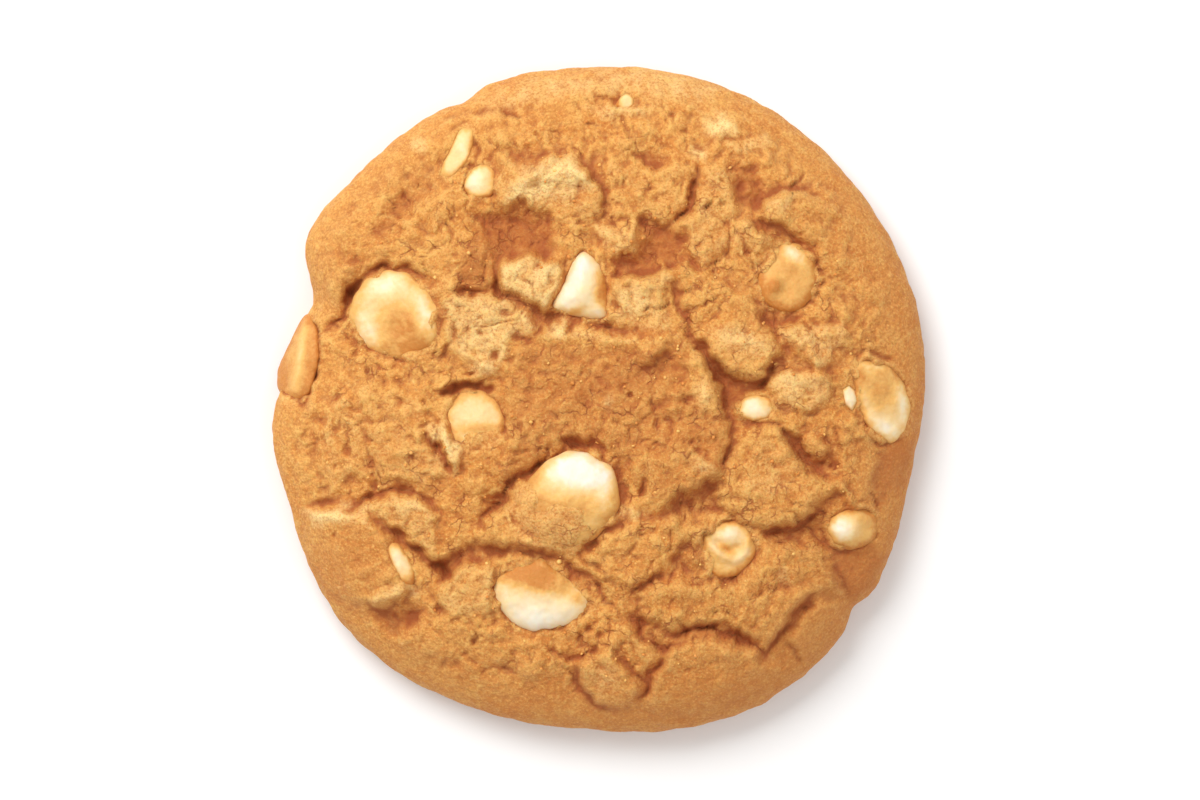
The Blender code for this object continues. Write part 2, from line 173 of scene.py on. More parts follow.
# height, edge, slope to the right, slope upwards, tint, then the outline, in millimetres. The edge eases over
# twice its width. A tint below 0 is crust that stayed pale, and on lit faces and crests a painted highlight.
# A tint above 0 is crust that browned, and in scoops and shaded hollows painted shade.
PLATES = {
    "slab": (1.2, 0.7, 0.0, 0.10, -0.15, (-11.5, 29.2), (-9.5, 28.2), (-7.5, 28.0), (-5.5, 29.2),
        (-3.0, 28.8), (-1.6, 28.0), (-0.4, 26.4), (0.6, 24.6), (0.2, 22.4), (-0.6, 21.2), (-3.2, 19.6),
        (-5.2, 20.6), (-6.2, 22.4), (-9.4, 23.4), (-12.4, 23.2), (-13.0, 25.0), (-12.0, 27.2)),
    "slab_lit_face": (0.4, 1.4, 0.0, -0.05, -1.0, (-10.5, 25.2), (-8.0, 27.0), (-5.5, 28.4), (-2.0, 28.0),
        (-1.0, 25.6), (-3.0, 24.6), (-7.0, 23.7), (-10.2, 23.4)),
    "scoop_below_slab": (-1.7, 1.6, 0.06, -0.10, 1.0, (-14.5, 21.6), (-12.5, 21.6), (-9.0, 22.4),
        (-6.0, 21.0), (-5.6, 18.6), (-6.0, 17.4), (-8.5, 17.2), (-11.0, 16.6), (-13.0, 17.5),
        (-14.3, 20.0)),
    "pale_chunk": (1.3, 0.6, 0.0, 0.04, -0.80, (-12.2, 15.4), (-11.0, 16.8), (-8.0, 17.0), (-5.4, 16.4),
        (-4.4, 15.2), (-5.0, 13.0), (-6.0, 11.4), (-6.6, 10.2), (-8.2, 10.6), (-9.6, 11.6), (-11.6, 13.2)),
    "brown_facet": (0.6, 0.5, 0.0, 0.22, 0.50, (-16.6, 17.6), (-15.2, 18.4), (-13.6, 18.8), (-12.6, 17.0),
        (-12.2, 14.8), (-12.6, 14.2), (-14.4, 13.2), (-16.6, 13.2), (-16.8, 15.4)),
    "crumbly_column": (0.6, 0.7, 0.0, 0.0, -0.10, (-20.8, 21.8), (-17.0, 21.2), (-15.0, 19.2),
        (-16.8, 17.6), (-17.0, 13.0), (-19.4, 12.4), (-20.6, 16.0), (-20.4, 19.5)),
    "left_flap": (0.8, 0.7, -0.03, 0.06, 0.15, (-31.5, 17.5), (-29.4, 15.4), (-30.4, 12.0), (-33.0, 7.8),
        (-34.0, 9.6), (-35.0, 12.4), (-35.2, 15.0)),
    "left_chunk": (1.1, 0.6, 0.0, 0.03, -0.60, (-18.6, 11.6), (-16.8, 12.5), (-15.2, 12.3), (-12.8, 12.8),
        (-11.6, 12.4), (-9.8, 11.2), (-7.8, 9.2), (-7.4, 8.4), (-8.2, 7.6), (-10.0, 7.2), (-11.0, 6.0),
        (-11.2, 4.2), (-13.5, 3.2), (-15.0, 4.2), (-17.6, 6.2), (-18.0, 8.4)),
    "crumbs_over_chip": (0.6, 0.5, 0.0, 0.0, -0.35, (-15.8, 3.8), (-13.6, 4.6), (-12.0, 3.6), (-12.8, 2.4),
        (-14.6, 2.8)),
    "top_plate": (0.7, 0.7, 0.0, 0.04, -0.12, (1.0, 29.0), (3.5, 27.8), (7.8, 27.6), (10.6, 27.8),
        (11.2, 26.0), (10.6, 24.4), (9.8, 22.6), (7.8, 21.2), (4.2, 21.2), (0.8, 21.6), (1.0, 24.2),
        (0.2, 26.2)),
    "under_top_plate": (0.5, 0.6, 0.0, 0.0, -0.35, (-0.6, 20.8), (4.0, 20.6), (5.0, 19.2), (4.0, 17.8),
        (1.4, 16.8), (0.2, 18.2)),
    "scoop_upper": (-1.5, 1.2, 0.05, -0.10, 0.75, (4.6, 21.0), (8.0, 20.6), (9.7, 19.8), (9.4, 17.2),
        (8.0, 16.2), (4.8, 15.4), (1.8, 15.4), (1.6, 16.4), (3.8, 17.4), (5.3, 19.0)),
    "upper_chunk": (0.9, 0.6, -0.03, 0.03, -0.20, (12.2, 27.0), (13.4, 27.7), (15.0, 27.4), (15.7, 25.4),
        (15.9, 22.6), (16.4, 21.4), (18.2, 21.4), (19.4, 19.8), (20.4, 19.2), (19.2, 18.0), (18.6, 15.8),
        (17.6, 16.6), (16.0, 18.2), (13.4, 17.2), (12.6, 15.2), (10.2, 16.9), (10.0, 18.8), (10.2, 20.8),
        (11.6, 22.8), (11.9, 25.2)),
    "long_flap": (1.1, 0.6, 0.0, -0.02, 0.0, (9.8, 16.4), (12.8, 14.4), (15.2, 13.2), (17.6, 12.6),
        (18.4, 11.2), (19.2, 9.6), (20.2, 7.8), (21.2, 5.6), (21.0, 4.2), (19.4, 3.2), (17.6, 2.6),
        (15.8, 3.2), (14.0, 4.4), (11.8, 6.8), (10.6, 8.8), (10.2, 10.6), (10.0, 12.6), (9.4, 14.6)),
    "flap_lip": (0.5, 1.2, 0.0, 0.0, -0.15, (12.8, 7.2), (16.0, 8.0), (19.6, 7.4), (20.6, 5.6), (19.2, 4.2),
        (16.6, 3.8), (14.2, 5.0)),
    "chunk_by_pointed_chip": (0.8, 0.6, 0.0, 0.03, -0.30, (1.6, 14.6), (4.8, 14.9), (8.0, 15.6),
        (8.8, 14.4), (7.8, 13.6), (7.4, 11.0), (8.6, 9.0), (8.4, 7.8), (4.6, 8.0), (2.4, 8.8), (2.0, 10.0),
        (1.8, 12.0)),
    "upper_right_plate": (1.0, 0.6, -0.10, 0.02, 0.0, (18.8, 21.8), (19.8, 24.0), (22.0, 24.6),
        (24.2, 24.8), (25.4, 25.6), (27.2, 25.0), (28.6, 23.4), (29.6, 20.4), (29.6, 17.4), (28.6, 15.4),
        (27.0, 16.2), (25.8, 18.4), (23.6, 20.0), (21.0, 20.6)),
    "plate_lip": (0.3, 0.7, 0.0, 0.0, -0.40, (19.2, 22.2), (20.2, 23.9), (23.0, 24.4), (23.6, 23.2),
        (21.2, 22.2)),
    "scoop_top_right": (-0.7, 0.8, 0.0, 0.0, 0.45, (15.8, 28.0), (18.8, 28.2), (19.2, 26.0), (19.2, 24.4),
        (18.6, 22.2), (17.2, 22.4), (16.4, 24.0)),
    "right_nubs": (0.9, 0.6, -0.02, 0.02, -0.40, (21.0, 8.2), (23.4, 9.2), (25.0, 8.6), (28.4, 9.2),
        (29.8, 8.2), (29.4, 6.6), (27.6, 6.0), (26.8, 4.2), (25.6, 3.6), (23.6, 5.6), (21.4, 6.8)),
    "inner_nub": (0.9, 0.6, 0.0, 0.0, -0.40, (19.6, 1.6), (20.6, 3.0), (22.6, 3.6), (24.6, 2.8),
        (26.4, 3.2), (27.6, 2.0), (27.2, 0.2), (25.6, -1.0), (23.0, -1.2), (21.2, 0.2)),
    "scoop_by_small_chip": (-1.3, 0.8, 0.0, 0.0, 0.60, (13.9, 3.2), (15.6, 2.2), (17.6, 1.9), (19.4, 2.4),
        (19.2, 1.4), (17.0, 0.5), (15.8, -0.6), (14.8, -0.4)),
    "scoop_below_tip_chip": (-0.7, 0.7, 0.0, 0.0, 0.40, (18.4, 10.6), (21.6, 9.8), (24.6, 10.0),
        (22.6, 8.9), (20.6, 8.6), (19.0, 9.0)),
    "middle_plate": (0.8, 0.8, 0.0, 0.01, 0.55, (-10.0, 6.6), (-6.5, 8.6), (2.6, 7.6), (8.5, 7.4),
        (10.0, 6.6), (12.0, 4.4), (14.0, 1.5), (15.0, -2.0), (14.2, -6.5), (13.8, -9.0), (8.0, -12.0),
        (5.0, -11.6), (3.5, -8.0), (0.4, -5.4), (-4.0, -5.6), (-8.0, -7.2), (-11.4, -9.8), (-10.6, -4.0),
        (-11.6, 0.0), (-10.8, 3.6)),
    "middle_top_edge": (0.5, 0.8, 0.0, 0.0, -0.85, (-8.0, 7.2), (-5.4, 9.0), (-2.6, 8.6), (2.4, 7.9),
        (5.0, 7.2), (4.4, 6.0), (0.0, 6.6), (-5.0, 6.8)),
    "pale_wedge": (0.5, 0.6, 0.0, 0.0, -0.55, (10.6, 6.6), (12.0, 5.0), (13.8, 1.6), (14.2, -1.0),
        (12.8, -1.4), (10.8, 0.0), (10.4, 3.0)),
    "lip_over_hollow": (0.5, 0.5, 0.0, 0.0, -0.20, (4.8, 4.2), (6.6, 5.0), (8.2, 6.0), (8.6, 7.4),
        (5.4, 7.2), (4.2, 5.8)),
    "hollow_under_lip": (-0.6, 0.6, 0.0, 0.0, 0.30, (4.6, 3.6), (6.8, 4.4), (8.6, 5.4), (9.0, 3.6),
        (7.0, 2.6), (5.0, 2.6)),
    "right_plate": (1.2, 0.6, 0.0, 0.02, 0.04, (15.8, -4.4), (17.0, -3.8), (21.4, -3.0), (22.2, -4.8),
        (23.6, -7.4), (24.6, -9.0), (27.4, -9.4), (28.2, -10.2), (25.6, -12.0), (22.6, -14.0),
        (20.0, -15.0), (17.6, -14.2), (14.8, -13.0), (13.8, -11.0), (14.6, -9.4), (15.4, -7.2)),
    "right_plate_fold": (0.4, 0.6, 0.0, 0.0, -0.15, (16.4, -9.4), (20.0, -9.0), (24.0, -10.4), (27.6, -9.8),
        (24.8, -11.8), (20.4, -11.2), (16.6, -11.4)),
    "scoop_right": (-0.7, 0.9, 0.0, 0.0, 0.35, (22.2, -3.8), (24.0, -3.6), (27.6, -4.0), (28.2, -8.0),
        (25.4, -8.8), (23.8, -6.8)),
    "chunk_in_scoop": (0.9, 0.5, 0.0, 0.0, -0.25, (23.6, -4.4), (25.4, -4.0), (26.6, -4.6), (26.8, -6.0),
        (26.0, -7.0), (25.0, -6.6), (24.2, -5.6)),
    "right_field": (0.5, 0.7, 0.0, 0.0, 0.05, (28.2, -2.0), (31.2, -3.6), (32.8, -5.8), (32.4, -9.0),
        (31.4, -11.6), (28.8, -9.0), (28.4, -6.0)),
    "shade_by_right_rim": (-0.5, 0.8, 0.0, 0.0, 0.55, (33.2, -6.2), (36.4, -4.8), (37.6, -6.0),
        (36.6, -9.6), (34.0, -12.4), (32.8, -12.4), (32.6, -9.0)),
    "inner_right_block": (0.5, 0.6, 0.0, 0.02, -0.15, (3.4, -7.8), (5.0, -6.2), (9.8, -6.4), (13.0, -7.0),
        (14.0, -8.6), (12.6, -9.8), (9.6, -11.6), (7.6, -12.6), (5.2, -13.2), (4.6, -11.6), (5.6, -9.4),
        (4.4, -8.8)),
    "smooth_scoop": (-0.8, 0.7, 0.0, 0.0, 0.40, (8.4, -12.8), (13.2, -10.0), (13.8, -11.2), (14.4, -13.2),
        (11.0, -13.8), (9.4, -13.6)),
    "block_below_nut": (1.1, 0.6, 0.0, 0.02, 0.0, (-1.4, -18.6), (1.8, -15.8), (4.0, -14.2), (5.4, -14.4),
        (8.2, -13.8), (10.0, -14.6), (12.2, -14.8), (11.6, -16.0), (9.4, -17.2), (7.4, -19.4), (5.6, -21.4),
        (4.0, -22.6), (2.2, -21.8), (0.4, -19.9)),
    "swirl_side": (-0.6, 0.7, 0.0, 0.0, 0.45, (7.9, -17.2), (11.6, -17.0), (12.2, -19.0), (12.0, -20.8),
        (8.6, -20.6), (7.6, -18.8)),
    "long_plate": (1.1, 0.6, -0.01, 0.03, 0.04, (8.0, -21.2), (12.4, -22.0), (16.0, -21.6), (18.4, -20.0),
        (19.8, -17.4), (22.6, -17.2), (26.2, -17.6), (27.4, -19.4), (28.4, -22.6), (25.4, -23.2),
        (23.4, -25.0), (21.0, -27.4), (19.8, -29.4), (17.8, -28.2), (14.6, -27.0), (11.0, -26.8),
        (8.0, -26.6), (6.0, -25.2), (5.2, -23.4), (6.6, -22.0)),
    "shade_below_right_plate": (-0.6, 0.7, 0.0, 0.0, 0.45, (22.4, -14.6), (25.6, -12.6), (27.0, -12.2),
        (26.8, -15.0), (26.2, -16.8), (23.0, -16.4), (19.6, -16.2), (19.6, -15.6)),
    "rim_flap_right": (-0.6, 0.8, 0.0, 0.0, 0.55, (28.2, -18.4), (30.6, -18.2), (32.6, -17.6),
        (34.0, -18.4), (32.6, -22.4), (30.4, -24.0), (29.2, -23.2)),
    "lower_right_chunk": (0.8, 0.6, -0.02, 0.02, 0.0, (26.0, -23.8), (28.6, -23.8), (30.2, -25.2),
        (30.0, -27.0), (28.2, -29.4), (26.2, -31.0), (24.4, -31.6), (22.8, -30.0), (22.6, -28.0),
        (24.2, -25.6)),
    "bottom_plate": (0.9, 0.6, -0.02, 0.06, -0.05, (8.2, -30.4), (10.0, -29.0), (12.0, -28.6),
        (14.6, -29.0), (18.0, -30.2), (19.2, -31.4), (20.6, -31.2), (22.8, -32.2), (20.0, -34.4),
        (14.0, -36.8), (8.0, -37.6), (5.6, -36.4), (6.2, -34.0), (6.6, -32.6)),
    "bottom_chunk": (1.1, 0.6, 0.0, 0.03, -0.08, (-2.0, -31.2), (0.2, -29.6), (1.3, -29.9), (3.0, -32.2),
        (5.0, -34.6), (4.0, -36.2), (1.6, -37.0), (-0.4, -36.6), (-2.0, -34.0)),
    "piece_by_pit": (0.5, 0.5, 0.0, 0.0, -0.10, (0.6, -28.0), (2.4, -26.6), (4.4, -27.2), (4.8, -29.2),
        (6.8, -30.6), (5.7, -32.2), (5.2, -33.0), (3.2, -31.0), (2.0, -29.2)),
    "pit_valley": (-0.7, 0.6, 0.0, 0.0, 0.45, (3.0, -23.8), (4.4, -23.2), (5.4, -25.6), (7.8, -27.2),
        (10.4, -27.4), (9.0, -29.0), (7.8, -30.4), (5.8, -29.0), (5.3, -26.8), (3.6, -25.4)),
    "smooth_nut_lump": (1.7, 0.8, 0.0, 0.0, 0.10, (-34.6, -13.4), (-32.6, -12.8), (-29.6, -13.0),
        (-27.4, -13.8), (-26.0, -15.2), (-25.0, -16.8), (-23.4, -19.2), (-22.2, -21.8), (-23.2, -23.4),
        (-25.6, -24.4), (-27.6, -24.4), (-30.2, -24.2), (-33.4, -22.0), (-35.2, -18.0), (-35.4, -15.0)),
    "lump_lit_edge": (0.3, 0.7, 0.0, 0.0, -0.70, (-34.4, -13.8), (-31.0, -13.0), (-28.0, -13.7),
        (-27.0, -15.0), (-30.0, -14.6), (-34.0, -15.4)),
    "lump_lower_edge": (0.35, 0.6, 0.0, 0.0, -0.60, (-22.8, -22.0), (-23.8, -23.6), (-27.6, -24.4),
        (-26.4, -22.8), (-24.2, -21.4)),
    "beside_smooth_lump": (1.0, 0.6, 0.0, 0.02, -0.25, (-29.0, -12.8), (-26.8, -12.0), (-23.0, -11.6),
        (-20.6, -12.2), (-19.4, -13.8), (-19.2, -16.0), (-20.0, -17.8), (-21.4, -17.2), (-23.2, -15.4),
        (-25.4, -14.4), (-27.0, -13.4)),
    "left_field": (0.8, 0.7, 0.0, 0.0, -0.15, (-32.0, -10.8), (-30.2, -9.0), (-27.4, -9.0), (-24.0, -9.6),
        (-20.6, -9.8), (-18.2, -9.2), (-18.8, -6.8), (-20.4, -4.8), (-20.6, -1.0), (-22.0, 1.0),
        (-28.0, 1.6), (-33.0, -1.0), (-33.6, -6.0)),
    "crest_by_left_chip": (0.9, 0.5, 0.0, 0.0, -0.60, (-20.4, -3.2), (-18.4, -3.0), (-16.8, -4.2),
        (-16.4, -8.0), (-17.2, -8.7), (-18.0, -6.8), (-19.6, -5.2)),
    "dough_below_left_chip": (0.6, 0.7, 0.0, 0.04, 0.10, (-16.4, -4.2), (-11.4, -4.0), (-10.0, -5.8),
        (-9.8, -7.4), (-12.6, -9.6), (-14.6, -12.0), (-17.2, -9.4), (-16.6, -8.0)),
    "nut_lump": (1.1, 0.8, 0.0, 0.02, -0.05, (-14.0, -15.4), (-12.0, -12.8), (-9.4, -10.2), (-7.0, -8.6),
        (-3.8, -6.4), (0.0, -6.8), (1.8, -9.2), (2.2, -12.2), (1.0, -14.4), (-1.6, -16.0), (-3.0, -18.2),
        (-6.0, -17.6), (-9.6, -17.4), (-12.0, -16.8)),
    "left_of_low_wafer": (0.9, 0.6, 0.0, 0.02, -0.25, (-18.2, -21.8), (-17.2, -20.4), (-15.6, -19.6),
        (-13.2, -19.2), (-12.4, -20.6), (-13.2, -22.6), (-12.6, -25.0), (-14.0, -25.4), (-16.4, -25.6),
        (-18.8, -24.6), (-19.2, -23.2)),
    "lower_left_field": (0.5, 0.8, 0.0, 0.03, 0.0, (-25.4, -28.2), (-22.0, -28.2), (-19.0, -25.6),
        (-14.0, -26.0), (-11.0, -28.0), (-6.4, -28.6), (-4.8, -29.4), (-3.0, -31.2), (-2.8, -33.4),
        (-9.2, -33.0), (-11.6, -31.4), (-14.0, -32.2), (-16.2, -30.9), (-22.0, -30.8)),
    "scoop_lower_left": (-1.0, 1.0, 0.0, 0.0, 0.50, (-26.6, -25.2), (-23.6, -25.0), (-20.9, -24.4),
        (-21.6, -26.4), (-23.2, -27.4), (-25.2, -27.8), (-25.8, -26.8)),
    "valley_by_low_wafer": (-0.9, 0.6, 0.0, 0.0, 0.60, (-19.6, -19.6), (-17.4, -18.4), (-14.4, -17.8),
        (-11.6, -17.6), (-11.2, -18.4), (-12.8, -18.9), (-16.2, -19.2), (-18.0, -21.0), (-18.9, -21.6)),
    "shade_right_of_low_wafer": (-0.7, 0.6, 0.0, 0.0, 0.50, (-4.4, -19.6), (-2.4, -19.8), (-0.6, -21.0),
        (0.2, -22.6), (-1.0, -22.8), (-3.4, -21.4)),
    "top_ledge": (0.35, 0.7, 0.0, 0.0, -0.50, (-1.6, 34.6), (2.0, 34.8), (6.2, 34.9), (5.6, 33.6),
        (1.0, 33.5)),
    "top_right_ridge": (0.5, 0.6, 0.0, 0.0, -0.35, (16.8, 31.0), (19.4, 31.6), (20.4, 30.6), (21.0, 29.8),
        (18.0, 29.5), (15.0, 29.5), (14.6, 30.2)),
    "bump_over_nut": (0.5, 0.7, 0.0, 0.0, -0.55, (12.6, 33.0), (14.0, 33.9), (15.6, 33.2), (15.8, 31.8),
        (14.2, 31.4), (12.8, 31.9)),
    "layer_top_left": (0.5, 0.5, 0.0, 0.0, 0.0, (-22.4, 31.6), (-20.8, 33.2), (-17.4, 33.6), (-14.4, 34.4),
        (-11.0, 33.8), (-7.6, 32.2), (-5.4, 30.6), (-8.0, 29.4), (-12.0, 30.2), (-14.4, 31.4),
        (-19.0, 31.0), (-20.6, 29.2), (-22.6, 29.6)),
    "groove_by_sliver": (-0.6, 0.9, 0.0, 0.0, 0.25, (-19.6, 28.6), (-18.6, 26.0), (-22.4, 22.4),
        (-26.0, 18.6), (-27.6, 19.6), (-24.6, 23.4), (-21.4, 27.2)),
    "bump_upper_left": (0.6, 0.8, 0.0, 0.0, -0.15, (-30.6, 20.8), (-27.6, 24.2), (-25.2, 24.8),
        (-24.8, 22.4), (-27.0, 19.6), (-28.6, 17.6), (-30.6, 18.0)),
    "lumps_by_top_left_chip": (0.6, 0.6, 0.0, 0.0, -0.10, (-23.6, 21.0), (-21.4, 23.6), (-18.6, 24.4),
        (-16.8, 23.0), (-18.0, 21.4), (-20.6, 22.0), (-21.8, 19.4), (-23.0, 18.4)),
    "nub_by_wafer": (0.6, 0.5, 0.0, 0.0, -0.10, (-18.6, 14.6), (-16.9, 14.2), (-16.6, 12.4), (-18.4, 11.4),
        (-19.6, 12.8)),
    "crevice_above_left_chip": (-1.4, 0.35, 0.0, 0.0, 0.80, (-19.2, 1.2), (-17.8, 2.2), (-15.2, 2.3),
        (-12.8, 1.2), (-13.2, 0.5), (-15.6, 1.1), (-18.4, 0.4)),
    "wedge_above_nut": (-1.2, 0.35, 0.0, 0.0, 0.80, (-4.6, -5.0), (-2.8, -4.2), (-0.8, -4.3), (0.6, -5.8),
        (-1.6, -5.6), (-3.2, -5.7)),
    "pale_top_rim": (0.0, 2.0, 0.0, 0.0, -0.50, (-14.0, 36.0), (-6.0, 39.0), (6.0, 39.4), (14.0, 37.4),
        (12.0, 35.4), (4.0, 36.6), (-4.0, 36.6), (-12.0, 34.6)),
    "tanned_upper_left_rim": (0.0, 2.5, 0.0, 0.0, 0.28, (-31.0, 14.0), (-33.0, 20.0), (-27.0, 27.0),
        (-22.0, 31.0), (-20.0, 28.0), (-22.0, 22.0), (-26.0, 17.0)),
    "top_middle_shade": (-0.4, 0.8, 0.0, 0.0, 0.40, (3.8, 28.8), (7.8, 29.0), (8.4, 28.2), (5.4, 27.6)),
}
PLATE_STRENGTH = 0.80
EDGE_SPREAD = 1.1
OUTLINE_MARGIN = 2.0 * MM
SWELL_FADE = (1.0, 0.88)
FAR_OFF = 1.0

# Height, size in millimetres and seed of each layer of noise
WANDER_ACROSS = ((0.5, 2.6, 11), (0.26, 1.0, 12))
WANDER_UP = ((0.5, 2.6, 13), (0.26, 1.0, 14))
TINT_NOISE = ((0.55, 1.7, 15), (0.35, 0.7, 16))
SWELL_NOISE = ((0.16, 9.0, 21), (0.10, 4.5, 22))

bent_x = map_x + layered(map_x, map_y, *WANDER_ACROSS) * MM
bent_y = map_y + layered(map_x, map_y, *WANDER_UP) * MM


def patch(x, y, middle_x, middle_y, half_length, half_width, turn, height, crispness):
    """A turned oval: height * exp(-(r^2)^crispness), with r in half lengths and widths."""
    turn = math.radians(turn)
    dx = x - middle_x * MM
    dy = y - middle_y * MM
    along = (dx * math.cos(turn) + dy * math.sin(turn)) / (half_length * MM)
    across = (dy * math.cos(turn) - dx * math.sin(turn)) / (half_width * MM)
    return height * np.exp(-((along**2 + across**2) ** crispness))


def window_round(places, margin):
    """The part of the map that holds these places and a margin round them."""
    low = np.searchsorted(map_line, places.min(axis=0) - margin)
    high = np.searchsorted(map_line, places.max(axis=0) + margin)
    return np.s_[low[1] : high[1], low[0] : high[0]]


def beside(x, y, start, end):
    """Distance from a straight line between two places, and the share of the way where it is nearest."""
    side = end - start
    dx = x - start[0]
    dy = y - start[1]
    foot = np.clip((dx * side[0] + dy * side[1]) / (side @ side), 0.0, 1.0)
    return np.hypot(dx - foot * side[0], dy - foot * side[1]), foot


def inside_outline(corners, edge):
    """The part of the map round an outline, and how far each point is inside it, from 0 to 1.

    The distance from the nearest side, positive inside, is eased over twice the edge. A point is inside when
    a line from it to the right crosses an odd number of sides.
    """
    outline = np.array(corners) * MM
    window = window_round(outline, OUTLINE_MARGIN)
    x = bent_x[window]
    y = bent_y[window]
    away = np.full(x.shape, FAR_OFF)
    within = np.zeros(x.shape, bool)
    for start, end in zip(outline, np.roll(outline, -1, axis=0)):
        away = np.minimum(away, beside(x, y, start, end)[0])
        if start[1] != end[1]:
            crossing = start[0] + (y - start[1]) * (end[0] - start[0]) / (end[1] - start[1])
            within ^= ((start[1] > y) != (end[1] > y)) & (x < crossing)
    return window, ease(-edge * MM, edge * MM, np.where(within, away, -away))


swell = layered(map_x, map_y, *SWELL_NOISE) * MM
tint = np.zeros_like(map_x)
for height, edge, slope_x, slope_y, tone, *outline in PLATES.values():
    window, share = inside_outline(outline, EDGE_SPREAD * edge)
    middle_x, middle_y = np.mean(outline, axis=0) * MM
    slope = slope_x * (map_x[window] - middle_x) + slope_y * (map_y[window] - middle_y)
    swell[window] += PLATE_STRENGTH * share * (height * MM + slope)
    # The tint is pale or browned crust, with painted highlight on lit faces and painted shade in scoops
    tint[window] += tone * share
swell *= ease(*SWELL_FADE, map_share)
tint *= 1.0 + layered(map_x, map_y, *TINT_NOISE)
